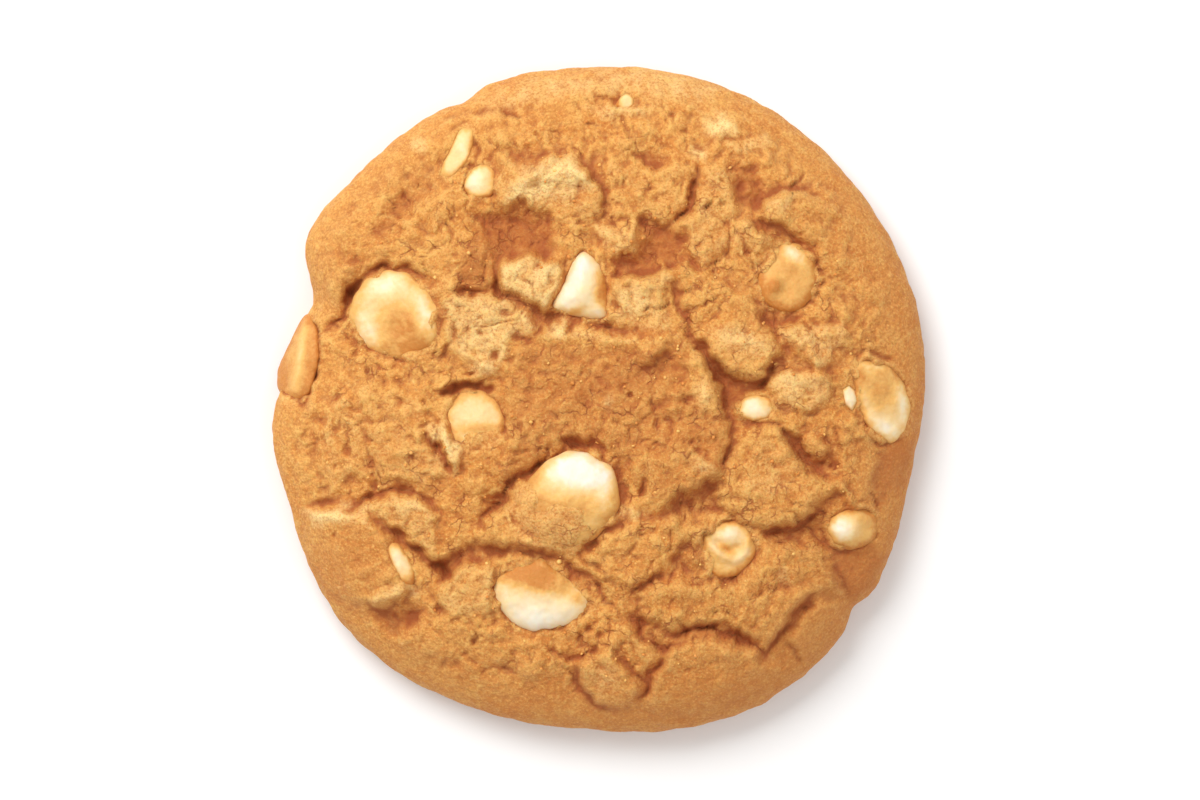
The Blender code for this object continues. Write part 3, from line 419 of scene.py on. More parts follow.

# The white chocolate chips
# Flat-bottomed drops of white chocolate that softened in the oven. Their crowns stand out of the dough and
# the rest is sunk in it. Each is one closed surface inside the outline that shows from above.

# at is the middle and edge the corners of the outline, in millimetres. The crown stands rise above the dough
# and the seat lies dip below it. A high flat gives a level top with a tight edge. Where the chocolate stayed
# white, with a painted highlight on the lit crown, and where it browned, with painted shade in grooves and on
# slopes turned from the light, and where dough lies over it, are ovals: x, y, half length, half width, turn,
# amount. shade is the tone of the rest, from 0 for white to 1 for brown, and edge_brown is added at the edge.
CHIPS = {
    "wafer_upper_left": dict(
        at=(-24.4, 10.0), rise=1.0, dip=0.9, belly=2.2, flat=3.0, shade=0.46, edge_brown=0.25,
        edge=((-29.8, 9.8), (-29.3, 12.6), (-27.6, 14.5), (-25.2, 15.4), (-22.6, 14.9), (-20.4, 13.1),
              (-19.1, 10.6), (-19.0, 7.8), (-20.4, 5.8), (-23.4, 4.7), (-26.4, 5.3), (-28.6, 7.0)),
        white=((-25.4, 13.9, 2.2, 1.2, 10, 0.32), (-27.9, 8.0, 1.5, 2.0, 20, 0.25),
               (-20.6, 10.0, 1.0, 2.4, 10, 0.30)),
        brown_and_shade=((-23.6, 8.6, 2.8, 3.0, 20, 0.45), (-21.6, 7.2, 2.0, 2.6, 10, 0.14),
               (-22.4, 5.8, 3.0, 1.2, 0, 0.20)),
        cover=((-21.4, 4.9, 3.6, 1.2, 12, 1.0), (-18.9, 8.0, 1.1, 3.2, 10, 1.0)),
    ),
    "pointed_chip": dict(
        at=(-2.0, 12.6), rise=1.5, dip=0.9, belly=2.0, flat=2.0, shade=0.32, edge_brown=0.2,
        edge=((-2.0, 17.9), (-3.5, 16.1), (-4.2, 14.3), (-5.3, 12.4), (-5.9, 10.7), (-4.2, 10.2),
              (-1.0, 9.5), (1.2, 9.5), (1.2, 11.8), (0.8, 14.4), (-0.2, 16.6)),
        white=((-2.2, 16.0, 1.1, 1.6, 0, 0.30), (-3.4, 13.2, 1.0, 2.4, -25, 0.26),
               (-0.6, 10.2, 1.3, 0.6, 0, 0.1)),
        brown_and_shade=((0.3, 13.4, 0.9, 1.6, 0, 0.60), (0.6, 11.6, 1.2, 0.9, -30, 0.45),
               (-2.6, 10.6, 1.6, 0.5, 10, 0.25)),
        cover=((1.6, 13.6, 0.7, 2.6, 0, 1.0),),
    ),
    "chip_left_middle": dict(
        at=(-14.6, -2.3), rise=0.35, dip=0.9, belly=2.0, flat=2.6, shade=0.50,
        edge=((-18.4, -1.4), (-17.5, 0.1), (-16.0, 1.1), (-13.8, 1.1), (-12.1, 0.0), (-11.2, -1.9),
              (-11.3, -4.1), (-12.8, -5.6), (-15.6, -6.0), (-17.8, -5.0)),
        white=((-14.6, -1.6, 2.2, 1.2, 0, 0.06),),
        brown_and_shade=((-14.0, -3.4, 3.2, 0.6, 0, 0.35),),
        cover=((-13.4, -5.6, 4.4, 2.4, 4, 1.0), (-18.2, -4.0, 1.3, 2.6, 0, 1.0)),
    ),
    "wafer_lower": dict(
        at=(-7.2, -23.2), rise=1.0, dip=0.9, belly=2.1, flat=3.0, shade=0.27, edge_brown=0.12,
        edge=((-12.8, -22.6), (-12.0, -20.6), (-9.6, -19.3), (-6.7, -18.7), (-4.8, -20.3), (-2.8, -22.1),
              (-1.0, -23.3), (-1.6, -25.1), (-3.2, -26.4), (-5.8, -27.2), (-8.2, -27.4), (-10.4, -26.4),
              (-12.1, -24.7)),
        white=((-7.4, -26.2, 3.2, 1.4, -4, 0.26), (-5.8, -18.9, 1.0, 0.4, -20, 0.3)),
        brown_and_shade=((-8.2, -20.2, 4.2, 2.0, 2, 0.80), (-6.0, -21.9, 3.6, 1.3, -16, 0.40),
               (-2.6, -23.4, 1.0, 0.9, -40, 0.25)),
        cover=((-10.4, -19.0, 2.6, 0.9, 22, 1.0), (-1.6, -25.6, 1.0, 1.3, -40, 1.0)),
    ),
    "wafer_right": dict(
        at=(33.8, -0.2), rise=0.6, dip=0.9, belly=2.0, flat=3.4, shade=0.52,
        edge=((30.1, 4.6), (32.4, 4.9), (34.6, 4.1), (36.2, 2.3), (37.1, 0.0), (37.0, -2.4), (36.2, -4.3),
              (34.6, -5.3), (32.6, -4.1), (31.3, -2.4), (30.6, -0.5), (30.1, 1.9)),
        white=((31.8, 4.2, 1.6, 0.6, -5, 0.30), (36.3, -1.0, 0.7, 3.0, 5, 0.34),
               (34.2, -3.6, 2.2, 1.2, -30, 0.42)),
        brown_and_shade=((33.4, 1.4, 1.8, 2.4, 15, 0.34), (31.0, 2.6, 0.8, 1.2, 0, 0.30)),
        cover=((29.9, 3.6, 0.8, 1.6, 0, 1.0), (30.6, 0.6, 0.6, 1.4, 0, 1.0)),
    ),
    "sliver_right": dict(
        at=(29.6, 0.2), rise=0.4, dip=0.5, belly=1.2, flat=2.2, shade=0.26,
        edge=((28.7, 1.2), (29.4, 1.9), (30.2, 1.2), (30.6, -0.2), (29.9, -1.4), (29.0, -0.5)),
        white=(), brown_and_shade=(), cover=((28.6, 1.6, 0.6, 0.6, 0, 1.0),),
    ),
    "chip_right_low": dict(
        at=(30.0, -15.4), rise=0.8, dip=0.8, belly=1.8, flat=2.4, shade=0.66,
        edge=((26.9, -15.5), (27.4, -13.9), (29.0, -13.0), (31.2, -12.7), (33.1, -13.6), (33.2, -15.4),
              (32.8, -16.8), (31.2, -17.6), (29.5, -17.9), (27.7, -17.2)),
        white=((28.6, -15.2, 1.5, 1.5, 20, 0.62),),
        brown_and_shade=((31.8, -13.8, 1.2, 1.6, 0, 0.1), (29.6, -17.2, 2.2, 0.8, 5, 0.15)),
        cover=((31.8, -12.6, 1.8, 0.9, -20, 1.0),),
    ),
    "swirl_chip": dict(
        at=(15.5, -17.8), rise=0.4, dip=0.9, belly=2.0, flat=3.0, shade=0.60,
        edge=((11.6, -17.8), (12.3, -15.6), (14.2, -14.3), (16.3, -14.2), (18.0, -15.4), (18.7, -17.4),
              (18.0, -19.4), (16.2, -20.8), (13.9, -21.2), (12.2, -19.9)),
        white=((15.2, -15.6, 1.4, 1.2, 0, 0.38), (12.8, -16.6, 2.2, 0.5, -49, 0.24),
               (16.8, -18.4, 1.6, 0.6, 40, 0.16)),
        brown_and_shade=((15.0, -17.6, 0.9, 0.4, -30, 0.4), (12.2, -18.6, 1.1, 2.0, 30, 0.35),
               (16.0, -14.4, 2.0, 0.4, -5, 0.2)),
        cover=((11.8, -18.8, 1.7, 2.6, 25, 1.0), (12.6, -14.8, 1.4, 0.8, -40, 1.0)),
    ),
    "chip_upper_right": dict(
        at=(22.1, 14.5), rise=0.7, dip=0.9, belly=2.0, flat=2.6, shade=0.74,
        edge=((18.5, 13.7), (18.8, 15.8), (20.2, 17.8), (22.0, 18.8), (24.0, 18.4), (25.4, 16.6),
              (25.8, 14.2), (25.2, 12.0), (23.4, 10.6), (21.4, 10.3), (19.4, 11.6)),
        white=((23.0, 17.6, 1.9, 1.0, -38, 0.50), (25.2, 14.8, 0.5, 2.0, 5, 0.12)),
        brown_and_shade=((20.5, 13.5, 0.7, 0.7, 0, 0.5), (22.8, 15.4, 1.4, 0.8, -20, 0.12),
               (22.0, 12.6, 2.4, 1.6, 10, 0.05)),
        cover=((19.6, 16.6, 1.3, 2.2, -40, 1.0),),
    ),
    "chip_top_left": dict(
        at=(-14.3, 25.9), rise=0.8, dip=0.7, belly=1.4, flat=2.2, shade=0.52,
        edge=((-16.4, 25.2), (-16.0, 26.4), (-15.2, 27.4), (-14.2, 28.1), (-13.2, 28.0), (-12.4, 27.2),
              (-12.1, 26.0), (-12.3, 24.8), (-13.1, 24.0), (-14.3, 23.7), (-15.5, 24.0)),
        white=((-14.7, 26.0, 1.1, 1.4, -20, 0.28),),
        brown_and_shade=((-14.4, 23.9, 1.8, 0.6, 0, 0.2), (-12.6, 25.8, 0.6, 1.8, 0, 0.15)),
        cover=((-12.0, 25.4, 1.0, 2.2, -10, 1.0), (-14.0, 23.6, 2.0, 0.6, 0, 1.0)),
    ),
    "small_chip_right": dict(
        at=(18.5, -1.0), rise=0.6, dip=0.6, belly=1.3, flat=2.2, shade=0.38,
        edge=((16.2, -1.1), (17.0, 0.2), (18.6, 0.7), (20.2, 0.2), (20.8, -1.0), (19.8, -2.2),
              (18.0, -2.5), (16.6, -2.0)),
        white=((18.4, -0.8, 1.2, 0.8, 0, 0.2),), brown_and_shade=((19.8, -0.2, 1.0, 0.9, 0, 0.3),),
        cover=((20.6, -0.2, 0.8, 0.9, 0, 1.0), (16.4, -1.8, 0.7, 0.7, 0, 1.0)),
    ),
    "chip_edge_lower_left": dict(
        at=(-23.5, -19.4), rise=0.50, dip=0.6, belly=1.2, flat=2.2, shade=0.58,
        edge=((-25.3, -16.9), (-24.0, -16.9), (-22.7, -18.5), (-21.8, -20.6), (-22.2, -22.1),
              (-23.4, -21.7), (-24.4, -19.9), (-25.1, -18.2)),
        white=((-23.8, -18.8, 0.8, 1.8, 30, 0.30),), brown_and_shade=((-22.6, -21.4, 1.0, 0.8, 0, 0.2),), cover=(),
    ),
}

EDGE_STEPS = 12
EDGE_ROUNDING = 5.0
EDGE_WAVE = 0.012
WAVES = np.arange(4, 17)


def edge_table(form):
    """The outline's distance from its middle at each degree.

    The straight lines between the corners are read by angle, and the distance is then rounded by a bell
    curve of a few degrees. Seeded waves, lower the faster they go round, make it uneven.
    """
    corner = (np.array(form["edge"]) - form["at"]) * MM
    part = np.arange(EDGE_STEPS)[:, None, None] / EDGE_STEPS
    line = (corner * (1 - part) + np.roll(corner, -1, axis=0) * part).reshape(-1, 2)
    angle = np.degrees(np.arctan2(line[:, 1], line[:, 0])) % 360.0
    order = np.argsort(angle)
    reach = np.hypot(line[:, 0], line[:, 1])[order]
    table = np.interp(np.arange(360.0), angle[order], reach, period=360.0)
    rate = np.fft.rfftfreq(360)
    keep = np.exp(-2.0 * (math.pi * EDGE_ROUNDING * rate) ** 2)
    uneven = np.random.default_rng(form["seed"]).uniform(-1.0, 1.0, (2, WAVES.size)) * EDGE_WAVE / WAVES
    uneven *= table.mean() / MM
    around = WAVES[:, None] * np.radians(np.arange(360.0))
    wave = uneven[0] @ np.cos(around) + uneven[1] @ np.sin(around)
    return np.fft.irfft(np.fft.rfft(table) * keep, 360) * (1.0 + wave)


SEAT_SPREAD = 1.2 * MM
SLOPE_REACH = 1.0 * MM


def settle(form):
    """Finds the seat of a piece: the softened dough's height and slope at its middle, dip lower."""
    x, y = (np.array(form["at"]) * MM)[:, None]
    ground = soften(plain_dome + swell, SEAT_SPREAD)
    form["reach"] = edge_table(form)
    form["middle"] = (x, y)
    form["seat"] = read_map(ground, x, y) - form["dip"] * MM
    form["slope"] = []
    for step_x, step_y in ((SLOPE_REACH, 0.0), (0.0, SLOPE_REACH)):
        ahead = read_map(ground, x + step_x, y + step_y)
        behind = read_map(ground, x - step_x, y - step_y)
        form["slope"].append((ahead - behind) / (2 * SLOPE_REACH))


def edge_at(form, angle):
    """The outline's distance from its middle in this direction, straight between two degrees."""
    degree = np.degrees(angle) % 360.0
    return np.interp(degree, np.arange(361.0), np.append(form["reach"], form["reach"][0]))


def seat_height(form, x, y):
    """The tilted plane through the seat."""
    across, up = form["slope"]
    return form["seat"] + across * (x - form["middle"][0]) + up * (y - form["middle"][1])


# Height, size in millimetres and step of the seed of each layer of noise
SKIN_NOISE = ((0.20, 2.4, 0), (0.09, 0.9, 1))
TONE_NOISE = ((0.35, 1.3, 2), (0.25, 0.5, 3))
COVER_NOISE = ((0.35, 1.8, 5), (0.12, 0.8, 6))
LAP_NOISE = ((0.10, 2.4, 7), (0.07, 0.9, 8))


def own_noise(form, x, y, layers):
    """Layered noise from a piece's own seeds."""
    return layered(x, y, *((height, size, form["seed"] + step) for height, size, step in layers))


def skin(form, x, y):
    """Small unevenness of a piece's surface: soft dents, and the folds that some pieces have."""
    rough = own_noise(form, x, y, SKIN_NOISE)
    if "folds" in form:
        rough = rough + form["folds"](x, y)
    return rough * MM


CROWN_SHARE = 0.8


def crown(form, x, y):
    """Distance from the middle as a share of the outline, and the height of the piece's upper surface.

    The upper surface is the seat plane and the crown's height times sqrt(1 - share^flat).
    """
    dx = x - form["middle"][0]
    dy = y - form["middle"][1]
    share = np.hypot(dx, dy) / edge_at(form, np.arctan2(dy, dx))
    cap = np.sqrt(np.clip(1.0 - share ** form["flat"], 0.0, 1.0))
    tall = (CROWN_SHARE * form["rise"] + form["dip"]) * MM
    return share, seat_height(form, x, y) + (tall + skin(form, x, y)) * cap


def closed_rows(top, rows, bottom):
    """A closed surface's vertices and faces: a top point, rings that turn anticlockwise, a bottom point."""
    count, columns = rows.shape[:2]
    points = np.concatenate([top[None], rows.reshape(-1, 3), bottom[None]])
    here = 1 + np.arange(count * columns).reshape(count, columns)
    ahead = np.roll(here, -1, axis=1)
    quads = np.stack([here[:-1], here[1:], ahead[1:], ahead[:-1]], axis=-1).reshape(-1, 4)
    first = np.stack([np.zeros(columns, int), here[0], ahead[0]], axis=-1)
    last = np.stack([np.full(columns, len(points) - 1), ahead[-1], here[-1]], axis=-1)
    return points, quads.tolist() + first.tolist() + last.tolist()


def new_piece(name, points, faces, material, tone):
    """A smooth-shaded mesh that rides on the cookie, with its tone stored on the points."""
    mesh = bpy.data.meshes.new(name)
    mesh.from_pydata(points.tolist(), [], faces)
    mesh.shade_smooth()
    layer = mesh.attributes.new("tone", "FLOAT_COLOR", "POINT")
    layer.data.foreach_set("color", tone.astype(np.float32).ravel())
    mesh.materials.append(material)
    piece = bpy.data.objects.new(name, mesh)
    bpy.context.scene.collection.objects.link(piece)
    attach(piece, "root")
    return piece


OVAL_CRISPNESS = 1.1
TONE_UNEVEN = 0.10
WHITE_UNEVEN = 0.3
BROWN_UNEVEN = 0.5
EDGE_UNEVEN = 0.2
EDGE_BAND = (0.62, 1.0)
EDGE_BROWN = 0.34


def tone_at(form, x, y):
    """Tone of a piece, 0 for white to 1 for brown.

    It is the piece's shade, less its white ovals, which also paint highlight, plus its browned ones, which
    also paint shade, and a little more at its edge.
    """
    ragged = own_noise(form, x, y, TONE_NOISE)
    tone = np.full_like(x, form["shade"]) + TONE_UNEVEN * ragged
    # Painted highlight, and chocolate that stayed white
    for *place, amount in form["white"]:
        tone -= amount * patch(x, y, *place, 1.0, OVAL_CRISPNESS) * (1.0 - WHITE_UNEVEN * ragged)
    # Painted shade, and chocolate that browned
    for *place, amount in form["brown_and_shade"]:
        tone += amount * patch(x, y, *place, 1.0, OVAL_CRISPNESS) * (1.0 + BROWN_UNEVEN * ragged)
    share = crown(form, x, y)[0]
    tone += form.get("edge_brown", EDGE_BROWN) * ease(*EDGE_BAND, share + EDGE_UNEVEN * ragged)
    return np.clip(tone, 0.0, 1.0)


PIECE_COLUMNS = 128
CROWN_ROWS = 36
BELLY_ROWS = 12
BELLY_FULLNESS = 2.4
SEED_STEP = 10
FIRST_CHIP_SEED = 100


def make_pressed_piece(name, form, material):
    """A chip or nut: rings from the crown over the outline and under the belly.

    A ring lies at share sin(t) of the outline. Above the seat its height is the crown's, and below it the
    belly hangs by depth * sqrt(1 - share^fullness).
    """
    angle = np.linspace(0.0, 2 * math.pi, PIECE_COLUMNS, endpoint=False)[None, :]
    over = np.sin(np.linspace(0.0, math.pi / 2, CROWN_ROWS + 1))[1:, None]
    under = np.sin(np.linspace(math.pi / 2, 0.0, BELLY_ROWS + 1))[1:-1, None]
    share = np.concatenate([over, under])
    reach = edge_at(form, angle) * share
    x = form["middle"][0] + reach * np.cos(angle)
    y = form["middle"][1] + reach * np.sin(angle)
    upper = crown(form, x, y)[1]
    lower = seat_height(form, x, y) - form["belly"] * MM * np.sqrt(1.0 - share**BELLY_FULLNESS)
    z = np.where(np.arange(len(share))[:, None] < CROWN_ROWS, upper, lower)
    middle_x, middle_y = form["middle"]
    top = np.concatenate([middle_x, middle_y, crown(form, middle_x, middle_y)[1]])
    bottom = np.concatenate([middle_x, middle_y, form["seat"] - form["belly"] * MM])
    points, faces = closed_rows(top, np.stack([x, y, z], axis=-1), bottom)
    level = tone_at(form, points[:, 0], points[:, 1])
    tone = np.stack([level, level, level, np.ones_like(level)], axis=-1)
    piece = new_piece("baked_" + name, points, faces, material, tone)
    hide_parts(name)


def press_in(forms, first_seed, finish):
    """Seats and makes the pieces of one kind, each with its own seed."""
    for order, (name, form) in enumerate(forms.items()):
        form["seed"] = first_seed + SEED_STEP * order
        settle(form)
        make_pressed_piece(name, form, finish)


def add_node(tree, kind, inputs=(), **settings):
    """A node with its settings made and its inputs set or linked, by name or number."""
    made = tree.nodes.new(kind)
    for key, value in settings.items():
        setattr(made, key, value)
    for key, value in dict(inputs).items():
        if isinstance(value, bpy.types.NodeSocket):
            tree.links.new(value, made.inputs[key])
        else:
            made.inputs[key].default_value = value
    return made


def blend(tree, amount, low, high):
    """Colour between low and high by amount."""
    made = add_node(tree, "ShaderNodeMix", data_type="RGBA")
    for key, value in ((0, amount), (6, low), (7, high)):
        if isinstance(value, bpy.types.NodeSocket):
            tree.links.new(value, made.inputs[key])
        else:
            made.inputs[key].default_value = value if key == 0 else (*value, 1.0)
    return made.outputs[2]


def reckon(tree, operation, *values):
    """One step of arithmetic on sockets and numbers."""
    return add_node(tree, "ShaderNodeMath", dict(enumerate(values)), operation=operation).outputs[0]


def stretch(tree, value, low, high, to_low=0.0, to_high=1.0):
    """Maps low..high to to_low..to_high, and stops at both ends."""
    made = add_node(tree, "ShaderNodeMapRange", {0: value, 1: low, 2: high, 3: to_low, 4: to_high})
    return made.outputs[0]


def speckle(tree, place, size, detail, roughness):
    """Noise whose spots are about this size in metres."""
    inputs = {"Vector": place, "Scale": 1.0 / size, "Detail": detail, "Roughness": roughness}
    return add_node(tree, "ShaderNodeTexNoise", inputs).outputs["Fac"]


SCATTER_REACH = (1.0, 0.5, 0.25)


def new_finish(name, roughness, specular, scatter, depth):
    """A material with its shader's constant values set. Scatter is the share of light that goes in."""
    finish = bpy.data.materials.new(name)
    finish.use_nodes = True
    tree = finish.node_tree
    shader = tree.nodes["Principled BSDF"]
    shader.inputs["Roughness"].default_value = roughness
    shader.inputs["Specular IOR Level"].default_value = specular
    shader.inputs["Subsurface Weight"].default_value = scatter
    shader.inputs["Subsurface Radius"].default_value = SCATTER_REACH
    shader.inputs["Subsurface Scale"].default_value = depth
    place = add_node(tree, "ShaderNodeTexCoord").outputs["Object"]
    return finish, tree, shader, place


CHIP_WHITE = (0.86, 0.78, 0.63)
CHIP_CREAM = (0.87, 0.66, 0.36)
NUT_PALE = (0.88, 0.80, 0.67)
NUT_CREAM = (0.88, 0.64, 0.32)
HONEY = (0.80, 0.455, 0.135)
TOASTED = (0.60, 0.235, 0.050)
GRAIN_SHARE = 0.35


def pressed_finish(name, pale, cream, roughness):
    """White chocolate or nut: pale, then creamy, honey and toasted as its tone rises, with a fine grain."""
    finish, tree, shader, place = new_finish(name, roughness, specular=0.22, scatter=0.25, depth=0.6 * MM)
    tone = add_node(tree, "ShaderNodeAttribute", attribute_name="tone").outputs["Fac"]
    grain = speckle(tree, place, 0.35 * MM, detail=4.0, roughness=0.65)
    spread = reckon(tree, "MULTIPLY", tone, GRAIN_SHARE)
    speck = reckon(tree, "SUBTRACT", grain, 0.5)
    level = reckon(tree, "MULTIPLY_ADD", speck, spread, tone)
    colour = pale
    for low, high, darker in ((0.02, 0.36, cream), (0.34, 0.66, HONEY), (0.66, 1.0, TOASTED)):
        colour = blend(tree, stretch(tree, level, low, high), colour, darker)
    tree.links.new(colour, shader.inputs["Base Color"])
    ripple = speckle(tree, place, 0.5 * MM, detail=4.0, roughness=0.6)
    lift = reckon(tree, "MULTIPLY", ripple, tone)
    bump = add_node(tree, "ShaderNodeBump", {"Strength": 0.9, "Distance": 0.22 * MM, "Height": lift})
    tree.links.new(bump.outputs[0], shader.inputs["Normal"])
    return finish


def fold(x, y, height, half_width, *course):
    """A fold along straight stretches: height * exp(-(distance / half width)^2)."""
    places = np.array(course) * MM
    away = np.minimum.reduce([beside(x, y, start, end)[0] for start, end in zip(places[:-1], places[1:])])
    return height * np.exp(-((away / (half_width * MM)) ** 2))


def knob(x, y, middle_x, middle_y, size, height, crispness=1.0):
    """A round bump: height * exp(-(r^2)^crispness), with r in sizes."""
    return patch(x, y, middle_x, middle_y, size, size, 0.0, height, crispness)


def swirl_folds(x, y):
    """A hooked fold that curls round the drop's tip, with a groove inside the hook."""
    hook = ((11.0, -14.6), (12.8, -16.8), (14.2, -18.3), (15.8, -19.0), (17.2, -18.2), (17.7, -16.6))
    groove = fold(x, y, -0.38, 0.40, (13.8, -16.8), (15.0, -17.8), (16.2, -17.4))
    return fold(x, y, 0.38, 0.50, *hook) + knob(x, y, 15.2, -15.7, 1.1, 0.45) + groove


def ball_crown(x, y):
    """The round tip of the low right chip."""
    return knob(x, y, 29.1, -15.2, 2.0, 0.9, 2.0)


def brown_tip(x, y):
    """A small bent tip with a dent beside it."""
    return knob(x, y, 20.5, 13.5, 0.9, 0.6) + knob(x, y, 22.2, 12.9, 0.9, -0.35)


def point_ridge(x, y):
    """The drop's tip: a leaning ridge that runs up the middle to the point, and rises from its foot."""
    middle_x, middle_y, lean, half_width = -2.2 * MM, 13.0 * MM, 0.06, 1.3 * MM
    height, foot, full = 0.55, 9.5 * MM, 13.5 * MM
    across = (x - middle_x - lean * (y - middle_y)) / half_width
    return height * np.exp(-(across**2)) * ease(foot, full, y)


CHIPS["swirl_chip"]["folds"] = swirl_folds
CHIPS["chip_right_low"]["folds"] = ball_crown
CHIPS["chip_upper_right"]["folds"] = brown_tip
CHIPS["pointed_chip"]["folds"] = point_ridge
white_chocolate = pressed_finish("white_chocolate_finish", CHIP_WHITE, CHIP_CREAM, roughness=0.52)
press_in(CHIPS, FIRST_CHIP_SEED, white_chocolate)

# The macadamia nuts
# Halves and splinters of a round, creamy nut. The big half stands highest and is bare at its upper right,
# a splinter lies at the top left, a crumb of nut at the top, and a broken piece makes the rim's left edge.

NUTS = {
    "nut_middle": dict(
        at=(-3.8, -12.0), rise=1.5, dip=1.2, belly=3.4, flat=2.3, shade=0.52,
        edge=((-3.8, -5.9), (-0.5, -6.4), (1.2, -7.8), (2.2, -10.2), (2.3, -12.5), (1.4, -14.6),
              (-0.5, -16.3), (-3.0, -17.6), (-6.0, -17.8), (-8.9, -16.3), (-10.4, -13.8), (-10.2, -11.3),
              (-8.4, -9.2), (-6.2, -7.2)),
        white=((-2.4, -8.0, 4.2, 2.4, -10, 0.75), (0.8, -10.4, 1.3, 2.2, 0, 0.22)),
        brown_and_shade=((-4.0, -13.2, 4.8, 2.2, 15, 0.32), (-8.0, -12.0, 2.2, 2.0, 30, 0.3)),
        cover=((-7.0, -15.6, 6.6, 3.2, 14, 1.0), (-9.8, -12.4, 2.2, 3.2, -30, 1.0),
               (0.6, -16.0, 3.0, 1.8, 30, 1.0)),
    ),
    "nut_sliver": dict(
        at=(-16.9, 29.4), rise=0.5, dip=0.6, belly=1.0, flat=2.6, shade=0.44,
        edge=((-16.6, 32.6), (-14.9, 32.5), (-15.1, 30.2), (-15.9, 28.1), (-17.8, 26.2), (-19.2, 26.3),
              (-18.7, 28.1), (-17.7, 30.2)),
        white=((-16.4, 30.6, 0.8, 1.6, 15, 0.12),), brown_and_shade=((-15.2, 29.4, 0.5, 2.0, 10, 0.2),),
        cover=((-18.9, 26.2, 0.9, 0.7, 0, 1.0),),
    ),
    "nut_bit_top": dict(
        at=(3.0, 35.5), rise=0.4, dip=0.5, belly=0.9, flat=2.2, shade=0.42,
        edge=((1.7, 34.9), (2.1, 35.6), (2.6, 36.3), (3.1, 36.6), (3.7, 36.4), (4.0, 35.8), (4.0, 35.1),
              (3.5, 34.7), (2.6, 34.6)),
        white=(), brown_and_shade=((2.0, 35.2, 0.6, 0.6, 0, 0.4),), cover=((3.2, 34.6, 1.2, 0.3, 0, 1.0),),
    ),
    "nut_left_rim": dict(
        at=(-36.1, 4.6), rise=0.7, dip=1.4, belly=1.6, flat=3.0, shade=0.80, edge_brown=0.24,
        edge=((-35.0, 10.7), (-33.7, 8.6), (-33.4, 6.2), (-33.7, 3.6), (-34.6, 0.7), (-36.1, -0.2),
              (-37.9, 0.0), (-38.9, 1.4), (-39.0, 3.4), (-38.2, 5.3), (-37.2, 7.3), (-36.2, 9.2)),
        white=((-35.7, 6.2, 0.5, 3.2, -8, 0.26), (-36.4, 2.0, 0.5, 1.6, -12, 0.16)),
        brown_and_shade=((-34.6, 4.6, 0.6, 2.6, 0, 0.20), (-34.8, 1.4, 0.6, 1.2, 0, 0.3),
               (-38.0, 2.6, 0.7, 2.2, -14, 0.25)),
        cover=(),
    ),
}


def broken_ridge(x, y):
    """The ridge between the two broken faces of the rim's nut, and the hollow on its outer side."""
    ridge = fold(x, y, 0.42, 0.55, (-35.3, 9.4), (-35.7, 6.6), (-36.0, 3.8), (-36.6, 1.0))
    return ridge + fold(x, y, -0.30, 0.60, (-37.6, 6.4), (-38.0, 3.4), (-37.8, 1.6))


FIRST_NUT_SEED = 300
NUTS["nut_left_rim"]["folds"] = broken_ridge
macadamia = pressed_finish("macadamia_finish", NUT_PALE, NUT_CREAM, roughness=0.56)
press_in(NUTS, FIRST_NUT_SEED, macadamia)

# The crust
# The dough's top baked to a golden crust that cracked where the lumps pulled apart. It is one closed surface:
# the dome with its swell, cracks, folds and crumb, the under-turned side, and the flat underside.

